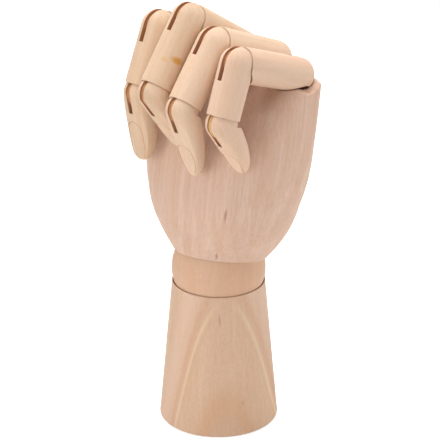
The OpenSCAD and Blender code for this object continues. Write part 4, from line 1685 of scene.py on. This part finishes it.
@dataclass
class FingerSet:
    """The four fingers and the thumb."""

    finishes: Finishes
    nail_starts: tuple[float, ...] = (0.4, 0.47, 0.48, 0.5)
    thumb_nail_start: float = 0.48

    def build(self) -> None:
        """Makes every finger piece."""
        for finger in Finger:
            self.finger(finger)
        self.thumb()

    def finger(self, finger: Finger) -> None:
        """Makes one finger's three pieces.

        Args:
            finger: which finger.
        """
        i, name = finger.value, finger.name.lower()
        wood, sawn, scribed = self.finishes.maple[name], self.finishes.sawn, self.finishes.scribed
        first, second, third = finger_frames(finger)
        Phalanx(name + "_proximal", first, SIZE.proximal_len[i], SIZE.proximal_r[i], SIZE.middle_r[i],
                KNUCKLE_RELIEF, SIZE.flex_2[i], wood, sawn, name + "_root").build()
        Phalanx(name + "_middle", second, SIZE.middle_len[i], SIZE.middle_r[i], SIZE.distal_r[i],
                (), 0.0, wood, sawn, name + "_mid").build()
        Fingertip(name + "_distal", third, SIZE.distal_len[i], SIZE.distal_r[i], SIZE.tip_blunt[i],
                  self.nail_starts[i], wood, sawn, scribed, name + "_tip").build()

    def thumb(self) -> None:
        """Makes the thumb's three pieces."""
        wood, sawn, scribed = self.finishes.maple["thumb"], self.finishes.sawn, self.finishes.scribed
        first, second, third = thumb_frames()
        lengths, heads = SIZE.thumb_len, SIZE.thumb_r
        Phalanx("thumb_metacarpal", first, lengths[0], heads[0], heads[1], FOLD_RELIEF, SIZE.thumb_fold, wood,
                sawn, "thumb_base", turned=-90.0).build()
        Phalanx("thumb_proximal", second, lengths[1], heads[1], heads[2], (), 0.0, wood, sawn,
                "thumb_mid").build()
        Fingertip("thumb_distal", third, lengths[2], heads[2], SIZE.tip_blunt[0], self.thumb_nail_start,
                  wood, sawn, scribed, "thumb_tip").build()


@dataclass
class Joinery:
    """The tongues and pins, whose solids are right and only need their finish."""

    finishes: Finishes
    resinous_tongue: str = "little_tongue_3"

    def build(self) -> None:
        """Dresses each tongue and pin."""
        for name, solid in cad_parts.items():
            if name == self.resinous_tongue:
                material = self.finishes.resinous
            elif "_tongue_" in name:
                # The birch tongues' red-brown is partly painted shade
                material = self.finishes.tongue
            elif "_pin" in name:
                material = self.finishes.pin
            else:
                continue
            for slot in solid.material_slots:
                slot.material = material
            crisp(solid)
            LOG.info("%s: dressed", name)


# ------------------------------------------------------------------ studio

@dataclass(frozen=True)
class Lamp:
    """A soft square lamp, placed in metres along the camera's own directions."""

    name: str
    back: float
    right: float
    up: float
    watts: float
    size: float = 0.6


LAMPS = (
    Lamp("overhead", 0.15, 0.0, 1.0, 6.3),
    Lamp("top_front", 0.55, 0.0, 0.85, 2.2),
    Lamp("key", 0.55, -0.75, 0.75, 1.7),
    Lamp("left_low", 0.7, -0.7, 0.0, 3.4),
    Lamp("front_low", 0.95, 0.0, -0.2, 2.2),
    Lamp("right_side", 0.1, 1.0, 0.2, 4.7),
    Lamp("back_left", -0.4, -0.5, 0.8, 1.7),
)


@dataclass
class Studio:
    """Camera, lamps, floor and white surroundings."""

    azimuth: float = 50.66
    elevation: float = 24.10
    distance: float = 1.365
    lens: float = 221.1
    sensor: float = 36.0
    aim_right: float = 0.672
    aim_up: float = 95.70
    lamp_aim: tuple[float, float, float] = (0.0, 0.0, 0.1)
    floor_half: float = 0.5
    floor_glow: float = 0.5
    floor_drop: float = 0.0002
    world_light: float = 0.05

    def axes(self) -> tuple[Vector, Vector, Vector]:
        """Directions of the photograph's camera.

        Returns:
            The ways back to the camera, right and up in the picture.
        """
        a, e = math.radians(self.azimuth), math.radians(self.elevation)
        back = Vector((math.sin(a) * math.cos(e), -math.cos(a) * math.cos(e), math.sin(e)))
        right = Vector((math.cos(a), math.sin(a), 0.0))
        return back, right, back.cross(right)

    def build(self) -> None:
        """Makes the studio."""
        self.camera()
        self.floor()
        self.world()
        back, right, up = self.axes()
        for lamp in LAMPS:
            self.lamp(lamp, back * lamp.back + right * lamp.right + up * lamp.up)

    def camera(self) -> None:
        """Makes the photograph's camera."""
        back, right, up = self.axes()
        target = (right * self.aim_right + up * self.aim_up) * MM
        data = bpy.data.cameras.new("photo_camera")
        data.lens = self.lens
        data.sensor_width = self.sensor
        data.clip_start, data.clip_end = 0.01, 20.0
        camera = bpy.data.objects.new("photo_camera", data)
        bpy.context.scene.collection.objects.link(camera)
        camera.location = target + back * self.distance
        camera.rotation_euler = (-back).to_track_quat("-Z", "Y").to_euler()
        bpy.context.scene.camera = camera

    def lamp(self, lamp: Lamp, place: Vector) -> None:
        """Adds a square soft lamp that points at the hand.

        Args:
            lamp: its name, size and power.
            place: where it stands, in metres.
        """
        data = bpy.data.lights.new(lamp.name, "AREA")
        data.size = lamp.size
        data.energy = lamp.watts
        made = bpy.data.objects.new(lamp.name, data)
        bpy.context.scene.collection.objects.link(made)
        made.location = place
        made.rotation_euler = (Vector(self.lamp_aim) - place).to_track_quat("-Z", "Y").to_euler()

    def floor(self) -> None:
        """Makes the pale floor, which glows to the camera, so that it shows white."""
        material = bpy.data.materials.new("matt white studio floor")
        material.use_nodes = True
        tree = material.node_tree
        tree.nodes.clear()
        # Matt white paint: no gloss, and nearly all of the light comes back
        surface = node(tree, "BsdfPrincipled", {"Base Color": (0.9, 0.9, 0.9, 1.0), "Roughness": 0.9,
                                                "Specular IOR Level": 0.1})
        glow = node(tree, "Emission", {"Color": (1, 1, 1, 1), "Strength": self.floor_glow})
        ray = node(tree, "LightPath").outputs["Is Camera Ray"]
        both = node(tree, "AddShader", {0: surface.outputs[0], 1: glow.outputs[0]})
        shown = node(tree, "MixShader", {0: ray, 1: surface.outputs[0], 2: both.outputs[0]})
        node(tree, "OutputMaterial", {"Surface": shown.outputs[0]})
        half = self.floor_half
        corners = [(-half, -half, 0), (half, -half, 0), (half, half, 0), (-half, half, 0)]
        mesh = bpy.data.meshes.new("studio_floor")
        mesh.from_pydata(corners, [], [(0, 1, 2, 3)])
        mesh.materials.append(material)
        floor = bpy.data.objects.new("studio_floor", mesh)
        bpy.context.scene.collection.objects.link(floor)
        floor.location.z = -self.floor_drop

    def world(self) -> None:
        """Makes the surroundings, white to the camera and in gloss, and dim as a light."""
        world = bpy.data.worlds.new("white studio")
        bpy.context.scene.world = world
        world.use_nodes = True
        tree = world.node_tree
        tree.nodes.clear()
        path = node(tree, "LightPath").outputs
        seen = path["Is Camera Ray"]
        for kind in ("Is Glossy Ray", "Is Transmission Ray"):
            seen = node(tree, "Math", {0: seen, 1: path[kind]}, operation="MAXIMUM").outputs[0]
        light = node(tree, "Background", {"Color": (1, 1, 1, 1), "Strength": self.world_light})
        white = node(tree, "Background", {"Color": (1, 1, 1, 1), "Strength": 1.0})
        both = node(tree, "MixShader", {0: seen, 1: light.outputs[0], 2: white.outputs[0]})
        node(tree, "OutputWorld", {"Surface": both.outputs[0]})


def main() -> None:
    """Builds every piece in order."""
    logging.basicConfig(level=logging.INFO, format="%(name)s %(message)s")
    bpy.context.scene.view_settings.view_transform = "Standard"
    finishes = Finishes()
    ForearmBase(finishes.base, finishes.sawn).build()
    WristSpring(finishes.spring).build()
    WristBall(finishes.ball).build()
    Palm(finishes.palm, finishes.sawn).build()
    FingerSet(finishes).build()
    Joinery(finishes).build()
    Studio().build()


if __name__ == "__main__":
    main()
